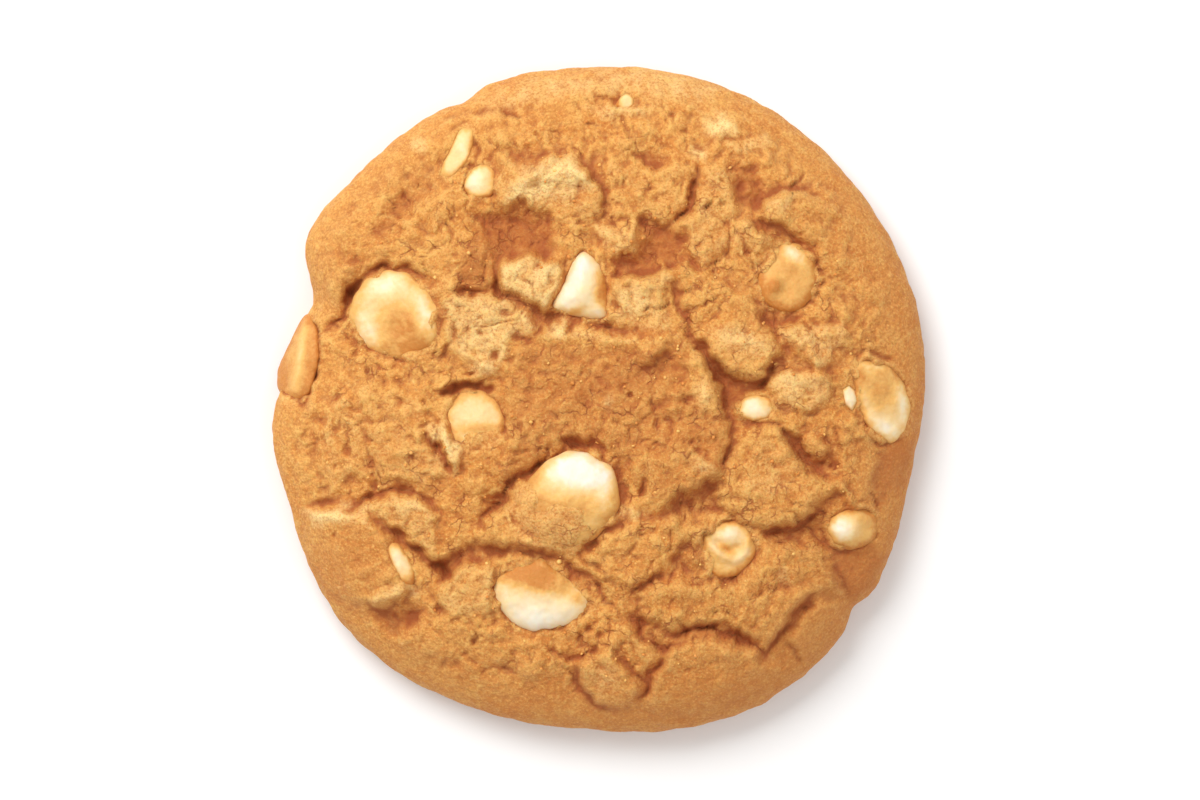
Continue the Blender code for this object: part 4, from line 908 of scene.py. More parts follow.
# half width, depth, step, reach, then the crack's course, all in millimetres. A crack goes as deep as depth,
# and with a positive step the dough on its left, seen along its course, stands higher within the reach.
SEAMS = {
    "wafer_top": (0.5, 1.4, 0.7, 2.0, (-30.5, 10.0), (-30.0, 12.6), (-28.2, 14.9), (-25.3, 15.9),
        (-22.5, 15.4), (-20.6, 14.1)),
    "rim_top_left": (0.35, 0.5, -0.2, 1.4, (-22.8, 32.0), (-20.8, 33.6), (-17.4, 34.0), (-14.0, 34.8),
        (-10.0, 33.8), (-7.0, 32.0)),
    "wafer_left_side": (0.5, 0.9, 0.4, 1.6, (-27.4, 16.1), (-29.3, 13.7), (-30.5, 10.6), (-31.8, 8.6),
        (-33.4, 7.2)),
    "wafer_foot": (0.45, 0.9, 0.4, 1.6, (-29.8, 9.4), (-28.6, 6.6), (-25.7, 5.2), (-21.6, 4.4)),
    "wafer_right_side": (0.4, 0.6, -0.5, 1.6, (-17.4, 8.4), (-17.6, 6.0), (-19.4, 4.7)),
    "above_middle": (0.7, 1.3, 0.8, 2.2, (-13.4, 14.0), (-9.6, 11.8), (-6.6, 10.0), (-1.2, 9.4),
        (2.6, 8.2)),
    "plate_top": (0.5, 1, -0.7, 2.4, (0.7, 14.8), (4.8, 15.0), (7.8, 15.6), (9.8, 16.6)),
    "plate_top_right": (0.4, 0.7, -0.4, 1.6, (9.8, 16.6), (11.0, 16.1), (12.7, 14.8)),
    "slab_right": (0.5, 0.9, -0.7, 2.4, (-1.7, 28.1), (0.0, 25.8), (0.8, 24.0), (0.0, 21.4)),
    "top_seam": (0.45, 0.9, 0.3, 2, (11.6, 28.4), (11.0, 25.2), (11.3, 23.3), (7.7, 20.2)),
    "top_short": (0.3, 0.5, -0.2, 1.2, (3.6, 28.8), (5.8, 28.1), (8.0, 27.6)),
    "top_left_short": (0.3, 0.5, 0.2, 1.2, (-8.4, 32.4), (-6.6, 30.0)),
    "beside_tip_chip": (0.4, 0.7, -0.2, 1.2, (16.2, 21.4), (16.6, 18.6), (18.8, 14.9)),
    "seam_right_upper": (0.5, 0.9, -0.5, 2.2, (7.7, 14.9), (8.9, 12.6), (9.8, 9.8), (11.8, 6.0)),
    "seam_right_lower": (0.6, 1.2, -0.6, 2.4, (11.8, 6.0), (14.2, 2.6), (14.9, -0.6), (15.7, -3.6),
        (14.6, -9.4)),
    "overhang": (0.4, 0.7, 0.5, 1.6, (4.8, 3.1), (6.6, 4.6), (8.4, 5.5)),
    "covered_chip_foot": (0.6, 1.2, 0.8, 1.8, (11.8, 7.0), (13.4, 4.2), (15.6, 2.3), (19.2, 2.5),
        (21.6, 5.0)),
    "nut_upper_side": (0.8, 1.6, 0.2, 1.6, (-0.2, -6.0), (-1.9, -4.7), (-5.8, -6.8), (-11.9, -10.9),
        (-14.4, -15.1)),
    "nut_right_side": (0.3, 0.8, -0.3, 1.2, (0.0, -6.2), (1.9, -8.6), (2.8, -11.8), (1.7, -14.4)),
    "nut_foot": (0.4, 0.8, -0.3, 1.4, (1.7, -14.4), (-0.5, -16.2), (-2.0, -17.8), (-2.4, -19.0)),
    "beside_nut_crack": (0.3, 0.7, 0.2, 1, (2.0, -8.2), (3.2, -10.6), (3.2, -12.4)),
    "beside_nut_wedge": (0.35, 0.8, -0.2, 1, (5.2, -9.1), (4.7, -10.3), (4.4, -11.6)),
    "smooth_top_left": (0.4, 0.8, -0.4, 1.8, (-34.9, -12.7), (-33.1, -12.1), (-31.3, -11.8)),
    "smooth_top": (0.6, 1.3, -0.5, 2, (-29.3, -12.6), (-26.9, -11.0), (-23.4, -10.9), (-20.6, -11.3),
        (-19.1, -13.7)),
    "field_crack": (0.3, 0.7, 0.2, 1, (-27.5, -4.8), (-27.2, -7.2), (-26.5, -10.0)),
    "field_crack_top": (0.3, 0.6, 0.2, 1, (-28.8, -3.2), (-27.8, -4.2), (-26.4, -5.0)),
    "smooth_right": (0.7, 1.7, 0.2, 1.6, (-25.0, -15.2), (-23.3, -16.2), (-20.6, -19.0), (-18.5, -19.9),
        (-18.5, -21.8)),
    "valley_left": (0.9, 1.2, 0.2, 2.2, (-19.7, -19.6), (-17.4, -18.7), (-14.4, -17.5), (-10.6, -17.8)),
    "above_low_wafer": (0.6, 1.1, 0.5, 1.8, (-10.6, -17.8), (-6.6, -18.1), (-4.4, -19.2), (-1.7, -20.9)),
    "low_wafer_slit": (0.25, 0.7, 0.1, 0.8, (-9.6, -18.1), (-8.2, -18.6)),
    "low_wafer_foot": (0.25, 0.7, 0.2, 1, (-12.2, -24.7), (-10.4, -26.4), (-6.6, -27.6), (-2.9, -26.3)),
    "low_wafer_right": (0.4, 0.9, 0.2, 1.4, (-1.4, -20.9), (0.0, -22.8), (2.0, -24.6), (2.4, -25.9)),
    "lump_right": (0.45, 0.9, -0.2, 1.4, (3.4, -23.3), (4.9, -22.1), (7.7, -20.2)),
    "lump_corner": (0.3, 0.5, 0.1, 1, (-2.0, -18.7), (-1.1, -19.4), (0.0, -20.3)),
    "deep_pit": (0.55, 1.3, 0.2, 1.2, (4.9, -25.4), (5.0, -26.9), (5.2, -28.8)),
    "fork": (0.5, 1, -0.3, 1.4, (5.8, -28.4), (7.7, -30.2), (10.1, -28.6)),
    "long_crack": (0.5, 1.5, -0.6, 2, (8.2, -27.8), (10.3, -27.1), (14.4, -27.1), (17.4, -28.9),
        (19.7, -30.2)),
    "long_crack_right": (0.6, 1.1, 0.4, 2, (19.7, -30.2), (21.6, -27.4), (23.6, -24.5), (25.7, -23.0)),
    "bottom_plate_left": (0.4, 0.9, 0.4, 1.6, (7.7, -30.2), (6.0, -32.6), (6.0, -34.1), (4.6, -35.6)),
    "bottom_right_short": (0.35, 0.7, 0.2, 1.2, (22.1, -28.8), (23.6, -30.7), (24.1, -32.4)),
    "chunk_top": (0.5, 1, -0.4, 1.6, (-6.5, -28.9), (-4.2, -30.6), (-2.4, -30.6), (0.4, -28.3)),
    "chunk_left": (0.4, 0.8, 0.5, 1.4, (-2.4, -30.7), (-2.6, -33.6), (-1.0, -36.7), (1.4, -37.3)),
    "chunk_right": (0.35, 0.5, -0.3, 1.2, (1.7, -29.3), (3.6, -31.9), (5.5, -34.3)),
    "bottom_ledge": (0.4, 0.6, -0.2, 1.6, (-16.3, -30.5), (-14.2, -32.2), (-11.6, -31.3), (-9.5, -33.0)),
    "right_ledge": (0.8, 1, 0.7, 2.2, (7.7, -12.7), (10.8, -10.9), (13.9, -9.2)),
    "small_chip_foot": (0.4, 0.7, 0.3, 1, (16.2, -2.0), (18.2, -3.0), (20.5, -2.2)),
    "right_plate_side": (0.6, 1.2, 0.2, 1.8, (22.0, -3.4), (23.6, -6.0), (25.4, -7.8), (27.8, -7.7)),
    "right_plate_foot": (0.7, 1.2, -0.7, 2.2, (25.7, -13.2), (23.8, -14.8), (21.6, -15.7), (19.0, -15.6)),
    "ball_chip_foot": (0.45, 0.9, 0.4, 1.2, (26.3, -15.6), (26.9, -17.4), (29.0, -18.2), (32.3, -17.2)),
    "ball_chip_right": (0.35, 0.8, -0.2, 1.2, (32.0, -10.6), (32.4, -12.0), (33.5, -13.3)),
    "right_wafer_foot": (0.4, 0.8, 0.3, 1.4, (31.7, -4.3), (33.6, -5.6), (36.7, -4.3)),
    "right_wafer_top": (0.6, 0.9, -0.2, 1.4, (30.0, 5.0), (32.6, 5.8), (35.5, 4.6)),
    "rim_scar": (0.5, 0.5, -0.2, 1.6, (27.1, -17.8), (28.6, -20.4), (29.4, -22.8), (30.2, -24.7)),
    "swirl_foot": (0.4, 0.9, 0.3, 1.4, (12.4, -21.4), (14.6, -21.2), (17.0, -20.0), (18.4, -18.2)),
    "left_chip_top": (0.5, 1.1, 0.1, 1.2, (-19.1, 0.7), (-17.0, 1.4), (-13.4, 2.0)),
    "left_chip_right": (0.4, 0.8, -0.1, 1.2, (-12.5, 0.2), (-11.4, -1.0), (-10.8, -2.6)),
    "left_chip_slit": (0.45, 1.1, 0.2, 1, (-20.4, -4.8), (-18.7, -5.9), (-17.6, -9.0)),
    "above_left_chip": (0.4, 0.7, 0.1, 1.2, (-17.3, 12.0), (-18.7, 10.1)),
    "left_short": (0.4, 0.6, 0.1, 1, (-21.1, 0.0), (-19.9, -1.6)),
    "middle_short": (0.4, 0.8, -0.4, 1.6, (-10.4, 7.3), (-8.0, 7.2), (-6.4, 9.1)),
    "tip_chip_side": (0.5, 0.9, -0.3, 1.4, (22.3, 19.6), (25.4, 17.5), (26.9, 14.4), (25.9, 12.4)),
    "tip_chip_foot": (0.4, 0.8, 0.3, 1.4, (18.0, 12.4), (20.4, 10.2), (23.4, 10.4), (25.7, 12.5)),
    "upper_plate_top": (0.4, 0.7, -0.6, 2, (18.4, 22.0), (19.7, 24.4), (24.0, 25.0), (27.6, 24.0)),
    "upper_plate_foot": (0.4, 0.7, 0.5, 1.6, (18.7, 21.5), (22.2, 20.2), (25.4, 18.2)),
    "rim_nut_gap": (0.5, 1.2, 0.1, 1.4, (-35.2, 10.6), (-33.5, 7.9), (-33.8, 3.4), (-35.4, -0.5),
        (-37.9, -0.2)),
    "top_nut_crevice": (0.4, 0.7, 0.1, 1, (-0.7, 36.5), (1.4, 35.2), (2.5, 36.5)),
    "sliver_line": (0.35, 0.7, -0.1, 1, (-18.0, 31.6), (-16.8, 32.6), (-15.6, 33.5)),
    "sliver_foot": (0.35, 0.7, 0.1, 1, (-15.1, 31.2), (-14.4, 28.8), (-16.6, 25.7)),
    "top_left_dent": (0.4, 0.4, 0.1, 1.4, (-15.0, 34.1), (-13.0, 34.9)),
    "pale_lump_left": (0.5, 0.8, -0.4, 1.6, (-12.4, 17.5), (-12.6, 15.4), (-11.8, 13.2)),
    "facet_foot": (0.5, 0.9, 0.5, 1.4, (-16.8, 13.2), (-14.9, 12.5), (-13.0, 13.4)),
}

# half width, height, then the ridge's course, all in millimetres
RIDGES = {
    "slab_crest": (0.8, 0.7, (-11.0, 25.7), (-6.6, 26.4), (-1.0, 26.8)),
    "right_crest": (0.9, 0.6, (22.0, 8.6), (24.0, 6.6), (27.4, 1.7)),
    "ball_chip_crest": (0.55, 0.8, (28.1, -8.9), (29.2, -11.3), (31.2, -13.1)),
    "top_nut_crest": (0.5, 0.35, (0.5, 34.6), (2.6, 34.4), (5.0, 34.7)),
    "left_chip_crest": (0.7, 0.6, (-18.4, -2.4), (-17.8, -5.3), (-16.9, -8.4)),
    "fold_over_tip": (0.8, 0.6, (17.0, 20.2), (19.4, 18.5), (21.1, 15.8)),
    "thread_right": (0.4, 0.5, (29.5, -2.4), (30.5, -3.8), (31.9, -4.8)),
    "swirl_fold": (0.6, 0.5, (12.0, -14.4), (12.7, -16.8), (14.6, -18.7)),
}

# x, y, half length, half width, turn, amount: where the crust is smooth and unbroken
SMOOTH = (
    (-28.6, -18.4, 7.0, 6.4, 20, 0.9),
    (-6.0, 24.8, 5.6, 3.0, 5, 0.4),
    (23.6, 22.0, 4.4, 2.6, -20, 0.6),
    (16.4, 6.2, 4.4, 2.6, -20, 0.6),
    (19.8, -8.8, 4.2, 4.2, 10, 0.5),
    (14.6, -34.2, 6.0, 3.6, 10, 0.4),
    (22.0, 1.8, 2.2, 1.8, 30, 0.6),
)

# x, y, half length, half width, turn, amount: crust that stayed pale, with painted highlight on lit crests
# and faces, then crust that browned, with painted shade in scoops, pits and under ledges
PALE_AND_LIT = (
    (-21.5, 30.4, 1.0, 1.0, 0, 0.9),
    (11.6, 29.4, 1.3, 0.8, 0, 0.9),
    (14.0, 32.6, 1.8, 1.7, 0, 0.8),
    (-5.0, 8.4, 1.2, 0.8, 0, 0.9),
    (4.0, 11.8, 1.8, 1.2, 0, 0.7),
    (12.0, 0.6, 1.4, 1.9, 0, 0.7),
    (21.7, -20.8, 0.8, 1.3, 0, 0.7),
    (16.8, 7.2, 3.2, 1.4, -18, 0.8),
    (-18.2, -6.0, 1.6, 3.0, 12, 0.7),
    (12.1, -7.7, 1.4, 1.0, 0, 0.8),
    (-31.4, -13.2, 3.6, 0.9, 8, 1.4),
    (-22.8, -12.6, 3.0, 0.7, -6, 0.5),
    (0.7, -0.4, 0.7, 0.9, 0, 0.8),
    (0.7, -8.4, 0.6, 1.2, 0, 0.8),
    (3.6, -13.6, 1.0, 0.6, 0, 0.8),
    (22.4, 2.0, 2.2, 1.6, 30, 0.4),
    (20.0, -8.0, 4.0, 3.6, 10, 0.25),
    (0.6, -33.0, 1.6, 2.0, 0, 0.35),
    (-22.3, -22.6, 0.9, 0.9, 0, 0.9),
)
BROWNED_AND_SHADE = (
    (29.4, -20.8, 2.4, 3.4, -10, 0.8),
    (19.4, 9.8, 1.9, 1.6, 0, 0.6),
    (-9.6, 18.8, 3.6, 2.1, 0, 0.6),
    (7.2, 18.2, 2.6, 2.8, 10, 0.6),
    (17.4, 25.2, 1.9, 3.3, 10, 0.6),
    (37.0, -7.2, 1.9, 5.0, -10, 0.6),
    (-29.8, -19.2, 5.0, 4.4, 15, 0.35),
    (-14.9, 15.4, 1.9, 2.8, 10, 0.5),
    (-23.4, -25.9, 2.4, 1.6, 0, 0.6),
    (34.2, -8.4, 2.6, 3.8, -10, 0.6),
    (-8.0, -17.6, 3.4, 0.8, -12, 0.7),
    (4.8, -27.0, 0.8, 2.4, 0, 0.9),
    (13.6, -28.0, 5.6, 1.0, -8, 0.9),
    (1.6, 1.6, 2.8, 2.0, 20, 0.35),
    (-8.2, 27.4, 2.0, 1.0, 0, 0.4),
)

# How much of the depth, step and width of its row a crack gets
SEAM_DEPTH = 0.8
SEAM_STEP = 0.8
SEAM_WIDTH = 0.75
STEP_SPREAD = 1.2
GROOVE_CRISPNESS = 1.4
SEAM_MARGIN = 3.0
SEAM_START = (-0.12, 0.22)
SEAM_END = (1.12, 0.78)
END_WIDTH = 0.75
MIDDLE_WIDTH = 0.35
DEPTH_VARY, DEPTH_SIZE, DEPTH_SEED = 0.45, 1.9 * MM, 400
WIDTH_VARY, WIDTH_SIZE, WIDTH_SEED = 0.35, 1.2 * MM, 500
RIDGE_MARGIN = 4.0
RIDGE_START = (-0.25, 0.25)
RIDGE_END = (1.25, 0.75)
TINY = 1e-9


def rounded(points):
    """The course with its corners cut twice, each at a quarter and three quarters of a stretch."""
    course = np.array(points, float)
    for _ in range(2):
        near = 0.75 * course[:-1] + 0.25 * course[1:]
        far = 0.25 * course[:-1] + 0.75 * course[1:]
        middle = np.stack([near, far], axis=1).reshape(-1, 2)
        course = np.concatenate([course[:1], middle[1:-1], course[-1:]])
    return course * MM


def near_course(points, margin):
    """The part of the map round a course, with each point's distance from it, side and place along it.

    The side is the sine of the angle between the course and the way to the point, so it is 1 on the left,
    -1 on the right, and passes through 0 beyond the ends.
    """
    course = rounded(points)
    window = window_round(course, margin)
    x = bent_x[window]
    y = bent_y[window]
    best = np.full(x.shape, FAR_OFF)
    side = np.zeros(x.shape)
    along = np.zeros(x.shape)
    lengths = np.hypot(*np.diff(course, axis=0).T)
    done = 0.0
    for start, end, length in zip(course[:-1], course[1:], lengths):
        away, foot = beside(x, y, start, end)
        step_x, step_y = (end - start) / length
        left = (y - start[1]) * step_x - (x - start[0]) * step_y
        closer = away < best
        best = np.where(closer, away, best)
        side = np.where(closer, left / np.maximum(away, TINY), side)
        along = np.where(closer, (done + foot * length) / lengths.sum(), along)
        done += length
    return window, best, np.clip(side, -1.0, 1.0), along


def cut_seams(relief):
    """Lowers each crack by depth * exp(-(distance / half width)^1.4), and steps its two sides apart.

    The step raises the left side and lowers the right one, and falls off by exp(-distance / reach). Depth and
    width vary along the crack and shrink at its ends.
    """
    for order, (half_width, depth, step, reach, *course) in enumerate(SEAMS.values()):
        margin = (SEAM_MARGIN * reach + 1.0) * MM
        window, away, side, along = near_course(course, margin)
        x = map_x[window]
        y = map_y[window]
        ends = ease(*SEAM_START, along) * ease(*SEAM_END, along)
        vary = 1.0 + DEPTH_VARY * drift(x, y, DEPTH_SIZE, DEPTH_SEED + order)
        wide = SEAM_WIDTH * half_width * MM * (END_WIDTH + MIDDLE_WIDTH * ends)
        wide *= 1.0 + WIDTH_VARY * drift(x, y, WIDTH_SIZE, WIDTH_SEED + order)
        groove = SEAM_DEPTH * depth * vary * ends * np.exp(-((away / wide) ** GROOVE_CRISPNESS))
        shoulder = SEAM_STEP * step * side * ends * (1.0 - np.exp(-((away / wide) ** 2)))
        shoulder *= np.exp(-away / (STEP_SPREAD * reach * MM))
        relief[window] += (shoulder - groove) * MM


def raise_ridges(relief):
    """Raises each ridge by height * exp(-(distance / half width)^2), lower towards its ends."""
    for half_width, height, *course in RIDGES.values():
        window, away, side, along = near_course(course, RIDGE_MARGIN * half_width * MM)
        ends = ease(*RIDGE_START, along) * ease(*RIDGE_END, along)
        relief[window] += height * MM * ends * np.exp(-((away / (half_width * MM)) ** 2))


SCATTER_SHARE = 0.96
OVAL_WIDTHS = (0.45, 1.0)
OVAL_REACH = 2.2


def scatter_ovals(relief, count, seed, sizes, heights, where):
    """Adds many small ovals at seeded places: height * exp(-(r^2)^1.4), with r in half lengths and widths.

    where gives how likely an oval is to stay at its place, from 0 to 1.
    """
    draw = np.random.default_rng(seed)
    for _ in range(count):
        angle = draw.uniform(0.0, 2 * math.pi)
        far = ROUND_RADIUS * SCATTER_SHARE * math.sqrt(draw.uniform())
        size = draw.uniform(*sizes)
        narrow = size * draw.uniform(*OVAL_WIDTHS)
        turn = draw.uniform(0.0, 180.0)
        height = draw.uniform(*heights)
        keep = draw.uniform()
        x = far * math.cos(angle)
        y = far * math.sin(angle)
        column, row = np.searchsorted(map_line, (x, y))
        if keep > where[row, column]:
            continue
        reach = int(OVAL_REACH * size * MM / MAP_STEP) + 1
        window = np.s_[row - reach : row + reach + 1, column - reach : column + reach + 1]
        oval = (x / MM, y / MM, size, narrow, turn, height, GROOVE_CRISPNESS)
        relief[window] += patch(map_x[window], map_y[window], *oval) * MM


PATCH_CRISPNESS = 1.2
PATCH_RAGGED = 1.2


def spread_patches(rows, seed):
    """The largest of several soft ovals at each place of the map, with ragged edges."""
    total = np.zeros_like(map_x)
    for row in rows:
        total = np.maximum(total, patch(bent_x, bent_y, *row, PATCH_CRISPNESS))
    ragged = layered(map_x, map_y, (0.3, 1.5, seed), (0.2, 0.6, seed + 1))
    return np.clip(total * (1.0 + PATCH_RAGGED * ragged), 0.0, 1.0)


# The crumb is rough on the top and smooth towards the rim, and it starts further out at the upper left. Its
# noises and billows have a size, height and seed, and its short cracks a size, depth, width and seed. A crack
# runs where its noise is within the width of 0.
OPEN_TURN = 2.5
OPEN_SHIFT = 0.05
OPEN_SIZE, OPEN_SEED = 7.0 * MM, 31
OPEN_BAND = (0.99, 0.80)
SMOOTH_SEED = 33
RIM_ROUGH = 0.22
TOP_ROUGH = 0.78
SMOOTHED = 0.8
ROUGHER_SIZE, ROUGHER_SEED = 5.0 * MM, 35
ROUGHER_BAND = (-0.55, 0.55)
CRUMB_NOISES = ((6.0, 0.12, 41), (3.0, 0.13, 42), (1.6, 0.14, 43), (0.95, 0.13, 44), (0.6, 0.10, 45))
BILLOWS = ((2.7, 0.34, 46), (1.5, 0.24, 47), (0.8, 0.12, 48))
RELIEF_FADE = (1.0, 0.9)
BILLOW_CRISPNESS = 0.7
BILLOW_LEVEL = 0.45
SHORT_CRACKS = ((5.2, 0.45, 0.045, 51), (3.0, 0.38, 0.060, 52), (1.9, 0.26, 0.08, 53))

shift = drift(map_x, map_y, OPEN_SIZE, OPEN_SEED) - np.cos(np.arctan2(map_y, map_x) - OPEN_TURN)
open_crumb = ease(*OPEN_BAND, map_share + OPEN_SHIFT * shift)
smooth = spread_patches(SMOOTH, SMOOTH_SEED)
rough = (RIM_ROUGH + TOP_ROUGH * open_crumb) * (1.0 - SMOOTHED * smooth)
rougher = ease(*ROUGHER_BAND, drift(map_x, map_y, ROUGHER_SIZE, ROUGHER_SEED))

relief = np.zeros_like(map_x)
cut_seams(relief)
raise_ridges(relief)
for size, height, seed in CRUMB_NOISES:
    relief += height * MM * rough * (0.6 + 0.7 * rougher) * drift(bent_x, bent_y, size * MM, seed)
for size, height, seed in BILLOWS:
    billow = np.abs(drift(bent_x, bent_y, size * MM, seed)) ** BILLOW_CRISPNESS
    relief += height * MM * rough * (0.35 + 0.85 * rougher) * (billow - BILLOW_LEVEL)
for size, depth, width, seed in SHORT_CRACKS:
    course = drift(bent_x, bent_y, size * MM, seed)
    opened = ease(0.0, 0.5, drift(map_x, map_y, 0.8 * size * MM, seed + 10))
    opened *= open_crumb * (1.0 - 0.9 * smooth)
    relief -= depth * MM * opened * np.exp(-((course / width) ** 2))
lumps = dict(count=1700, seed=61, sizes=(0.45, 1.5), heights=(0.06, 0.30))
pits = dict(count=80, seed=62, sizes=(0.25, 0.65), heights=(-0.6, -0.2))
pores = dict(count=260, seed=63, sizes=(0.18, 0.35), heights=(-0.2, -0.08))
scatter_ovals(relief, where=open_crumb * (1.0 - 0.7 * smooth), **lumps)
scatter_ovals(relief, where=open_crumb * (1.0 - 0.85 * smooth), **pits)
scatter_ovals(relief, where=0.5 + 0.5 * open_crumb, **pores)
relief *= ease(*RELIEF_FADE, map_share)

# The dough's top. It is a film over a covered chip or nut, cover depth above it, and lies hidden depth under
# a bare one, in millimetres. Each band eases from its first value to its second.
HIDDEN_DEPTH = 0.35
COVER_DEPTH = 0.22
FILM_RELIEF = 0.28
COVER_CRISPNESS = 1.6
COVER_BAND = (0.2, 0.85)
LAP_BAND = (1.00, 0.85)
MELTED_BAND = (1.30, 0.98)

dough_top = plain_dome + swell + relief
melted = np.zeros_like(map_x)
for form in (*CHIPS.values(), *NUTS.values()):
    share, upper = crown(form, map_x, map_y)
    covered = np.zeros_like(map_x)
    for row in form["cover"]:
        covered = np.maximum(covered, patch(bent_x, bent_y, *row, COVER_CRISPNESS))
    ragged = own_noise(form, map_x, map_y, COVER_NOISE)
    covered = ease(*COVER_BAND, covered * (1.0 + ragged))
    film = upper + ((HIDDEN_DEPTH + COVER_DEPTH) * covered - HIDDEN_DEPTH) * MM
    film += FILM_RELIEF * relief * covered
    inside = ease(*LAP_BAND, share + own_noise(form, map_x, map_y, LAP_NOISE))
    melted = np.maximum(melted, ease(*MELTED_BAND, share))
    dough_top = dough_top * (1.0 - inside) + film * inside

CRUST_CELLS = 302
PROFILE_STEPS = 2000
SIDE_START = 0.9
SIDE_PACE = 0.7
UNDERSIDE_RING = 0.7
SIDE_SLANT = (1.3, -0.7)
SIDE_NOISE = ((0.18, 2.6, 71), (0.07, 1.1, 72))
SIDE_BAND = (0.90, 0.99)
FOOT_BAND = (0.0, 0.6 * MM)
TOP_BAND = (WIDEST_AT, WIDEST_AT + 2.0 * MM)
SIDE_TOP = 1.02 * WIDEST_AT


def side_profile(steps):
    """Rim share and height along the profile, from the top's middle to the foot, at an even pace.

    The dome comes first and then a quarter ellipse that turns under. A stretch past the side's start counts
    less, so the points there lie further apart.
    """
    turn = np.linspace(0.0, math.pi / 2, PROFILE_STEPS)
    share = np.concatenate([np.sin(turn), 1.0 - FOOT_INSET / ROUND_RADIUS * (1.0 - np.cos(turn[1:]))])
    height = np.concatenate([dome_height(np.sin(turn)), WIDEST_AT * (1.0 - np.sin(turn[1:]))])
    length = np.hypot(np.diff(share) * ROUND_RADIUS, np.diff(height))
    length *= np.where(share[1:] > SIDE_START, SIDE_PACE, 1.0)
    travel = np.concatenate([[0.0], np.cumsum(length)])
    wanted = np.linspace(0.0, travel[-1], steps)
    return np.interp(wanted, travel, share), np.interp(wanted, travel, height)


def crust_points():
    """The crust's grid, a square laid over the round.

    A point's ring is its distance from the square's middle, the larger of the two, and its angle goes evenly
    round that ring. The ring gives the place on the profile. Noise bulges the side, and slants with height.
    """
    line = np.arange(-CRUST_CELLS // 2, CRUST_CELLS // 2 + 1)
    across, up = np.meshgrid(line, line)
    ring = np.maximum(np.abs(across), np.abs(up))
    wide = np.abs(across) >= np.abs(up)
    slant = np.where(wide, up, across) / np.maximum(ring, 1) * math.pi / 4
    sideways = np.where(across < 0, math.pi - slant, slant)
    upright = np.where(up < 0, slant - math.pi / 2, math.pi / 2 - slant)
    angle = np.where(wide, sideways, upright)
    share, height = (values[ring] for values in side_profile(CRUST_CELLS // 2 + 1))
    reach = rim_reach(angle) * share
    x = reach * np.cos(angle)
    y = reach * np.sin(angle)
    raised = height + read_map(dough_top - plain_dome, x, y) * ease(*TOP_BAND, height)
    z = np.where(height < SIDE_TOP, height, raised)
    bulge = layered(x + SIDE_SLANT[0] * z, y + SIDE_SLANT[1] * z, *SIDE_NOISE)
    bulge *= MM * ease(*SIDE_BAND, share) * ease(*FOOT_BAND, z)
    x = x + bulge * np.cos(angle)
    y = y + bulge * np.sin(angle)
    return np.stack([x, y, z], axis=-1)


def edge_loop(grid):
    """The grid's border points, anticlockwise."""
    return np.concatenate([grid[0, :-1], grid[:-1, -1], grid[-1, :0:-1], grid[:0:-1, 0]])


grid = crust_points()
number = np.arange(grid.shape[0] * grid.shape[1]).reshape(grid.shape[:2])
points = grid.reshape(-1, 3)
quads = np.stack([number[:-1, :-1], number[:-1, 1:], number[1:, 1:], number[1:, :-1]], axis=-1)
quads = quads.reshape(-1, 4)
foot = edge_loop(number)
ring_points = points[foot] * (UNDERSIDE_RING, UNDERSIDE_RING, 0.0)
ring = len(points) + np.arange(len(foot))
middle = len(points) + len(foot)
under = np.stack([foot, ring, np.roll(ring, -1), np.roll(foot, -1)], axis=-1)
fan = np.stack([ring, np.full(len(ring), middle), np.roll(ring, -1)], axis=-1)
points = np.concatenate([points, ring_points, np.zeros((1, 3))])
crust_faces = quads.tolist() + under.tolist() + fan.tolist()

# The tone map: painted shade in hollows in red, painted highlight on crests in green, pale crust with painted
# highlight in blue, browned crust with painted shade in alpha
NEAR = 0.45 * MM
WIDE = 1.3 * MM
SLOPE_BLUR = 0.3 * MM
PALE_SEED = 81
BROWNED_SEED = 83
PALE_SLOPES = (1.6, 0.7)
WALL_SLOPES = (0.35, 1.2)
HOLLOW_LOSS = 0.7
RIM_BAND = (0.62, 1.0)
RIM_BROWN = 0.22
RIM_SHADE_TURN = 0.30
TOP_SHADE_TURN = 0.12
PALE_SHARE = 0.7
TINT_SHARE = 0.9
MELTED_SHARE = 0.18
WALL_SHADE = 0.36
FOOT_BROWN = 0.55
FOOT_HEIGHTS = (3.2 * MM, 0.3 * MM)


def weigh(field, full, amount):
    """The amount where the field is full millimetres high or more, less below, and nothing under 0."""
    return np.clip(field / (full * MM), 0.0, 1.0) * amount


rise = dough_top - plain_dome
near = rise - soften(rise, NEAR)
wide = rise - soften(rise, WIDE)
steep = np.hypot(*np.gradient(soften(rise, SLOPE_BLUR), MAP_STEP))
# Painted shade: the crust darkens where it lies below its blurred self
hollow_shade = weigh(-near, full=0.20, amount=0.45) + weigh(-wide, full=0.75, amount=0.5)
# Painted highlight: the crust turns paler where it stands above its blurred self
crest_highlight = weigh(near, full=0.14, amount=0.6) + weigh(wide, full=0.60, amount=0.3)
pale = PALE_SHARE * spread_patches(PALE_AND_LIT, PALE_SEED)
pale += np.clip(-TINT_SHARE * tint, 0.0, 1.0) + MELTED_SHARE * melted
# Painted shade: the pale crust and its painted highlight are taken off steep walls and out of hollows
pale *= ease(*PALE_SLOPES, steep) * (1.0 - HOLLOW_LOSS * hollow_shade)
# The rim browns all round. Painted shade makes the top and rim browner towards the lower right, away from the
# light
lower_right = np.cos(np.arctan2(map_y, map_x) + math.radians(45))
rim_brown_and_shade = ease(*RIM_BAND, map_share) * (RIM_BROWN + RIM_SHADE_TURN * lower_right)
rim_brown_and_shade += TOP_SHADE_TURN * lower_right * map_share
browned_and_shade = np.maximum(spread_patches(BROWNED_AND_SHADE, BROWNED_SEED), rim_brown_and_shade)
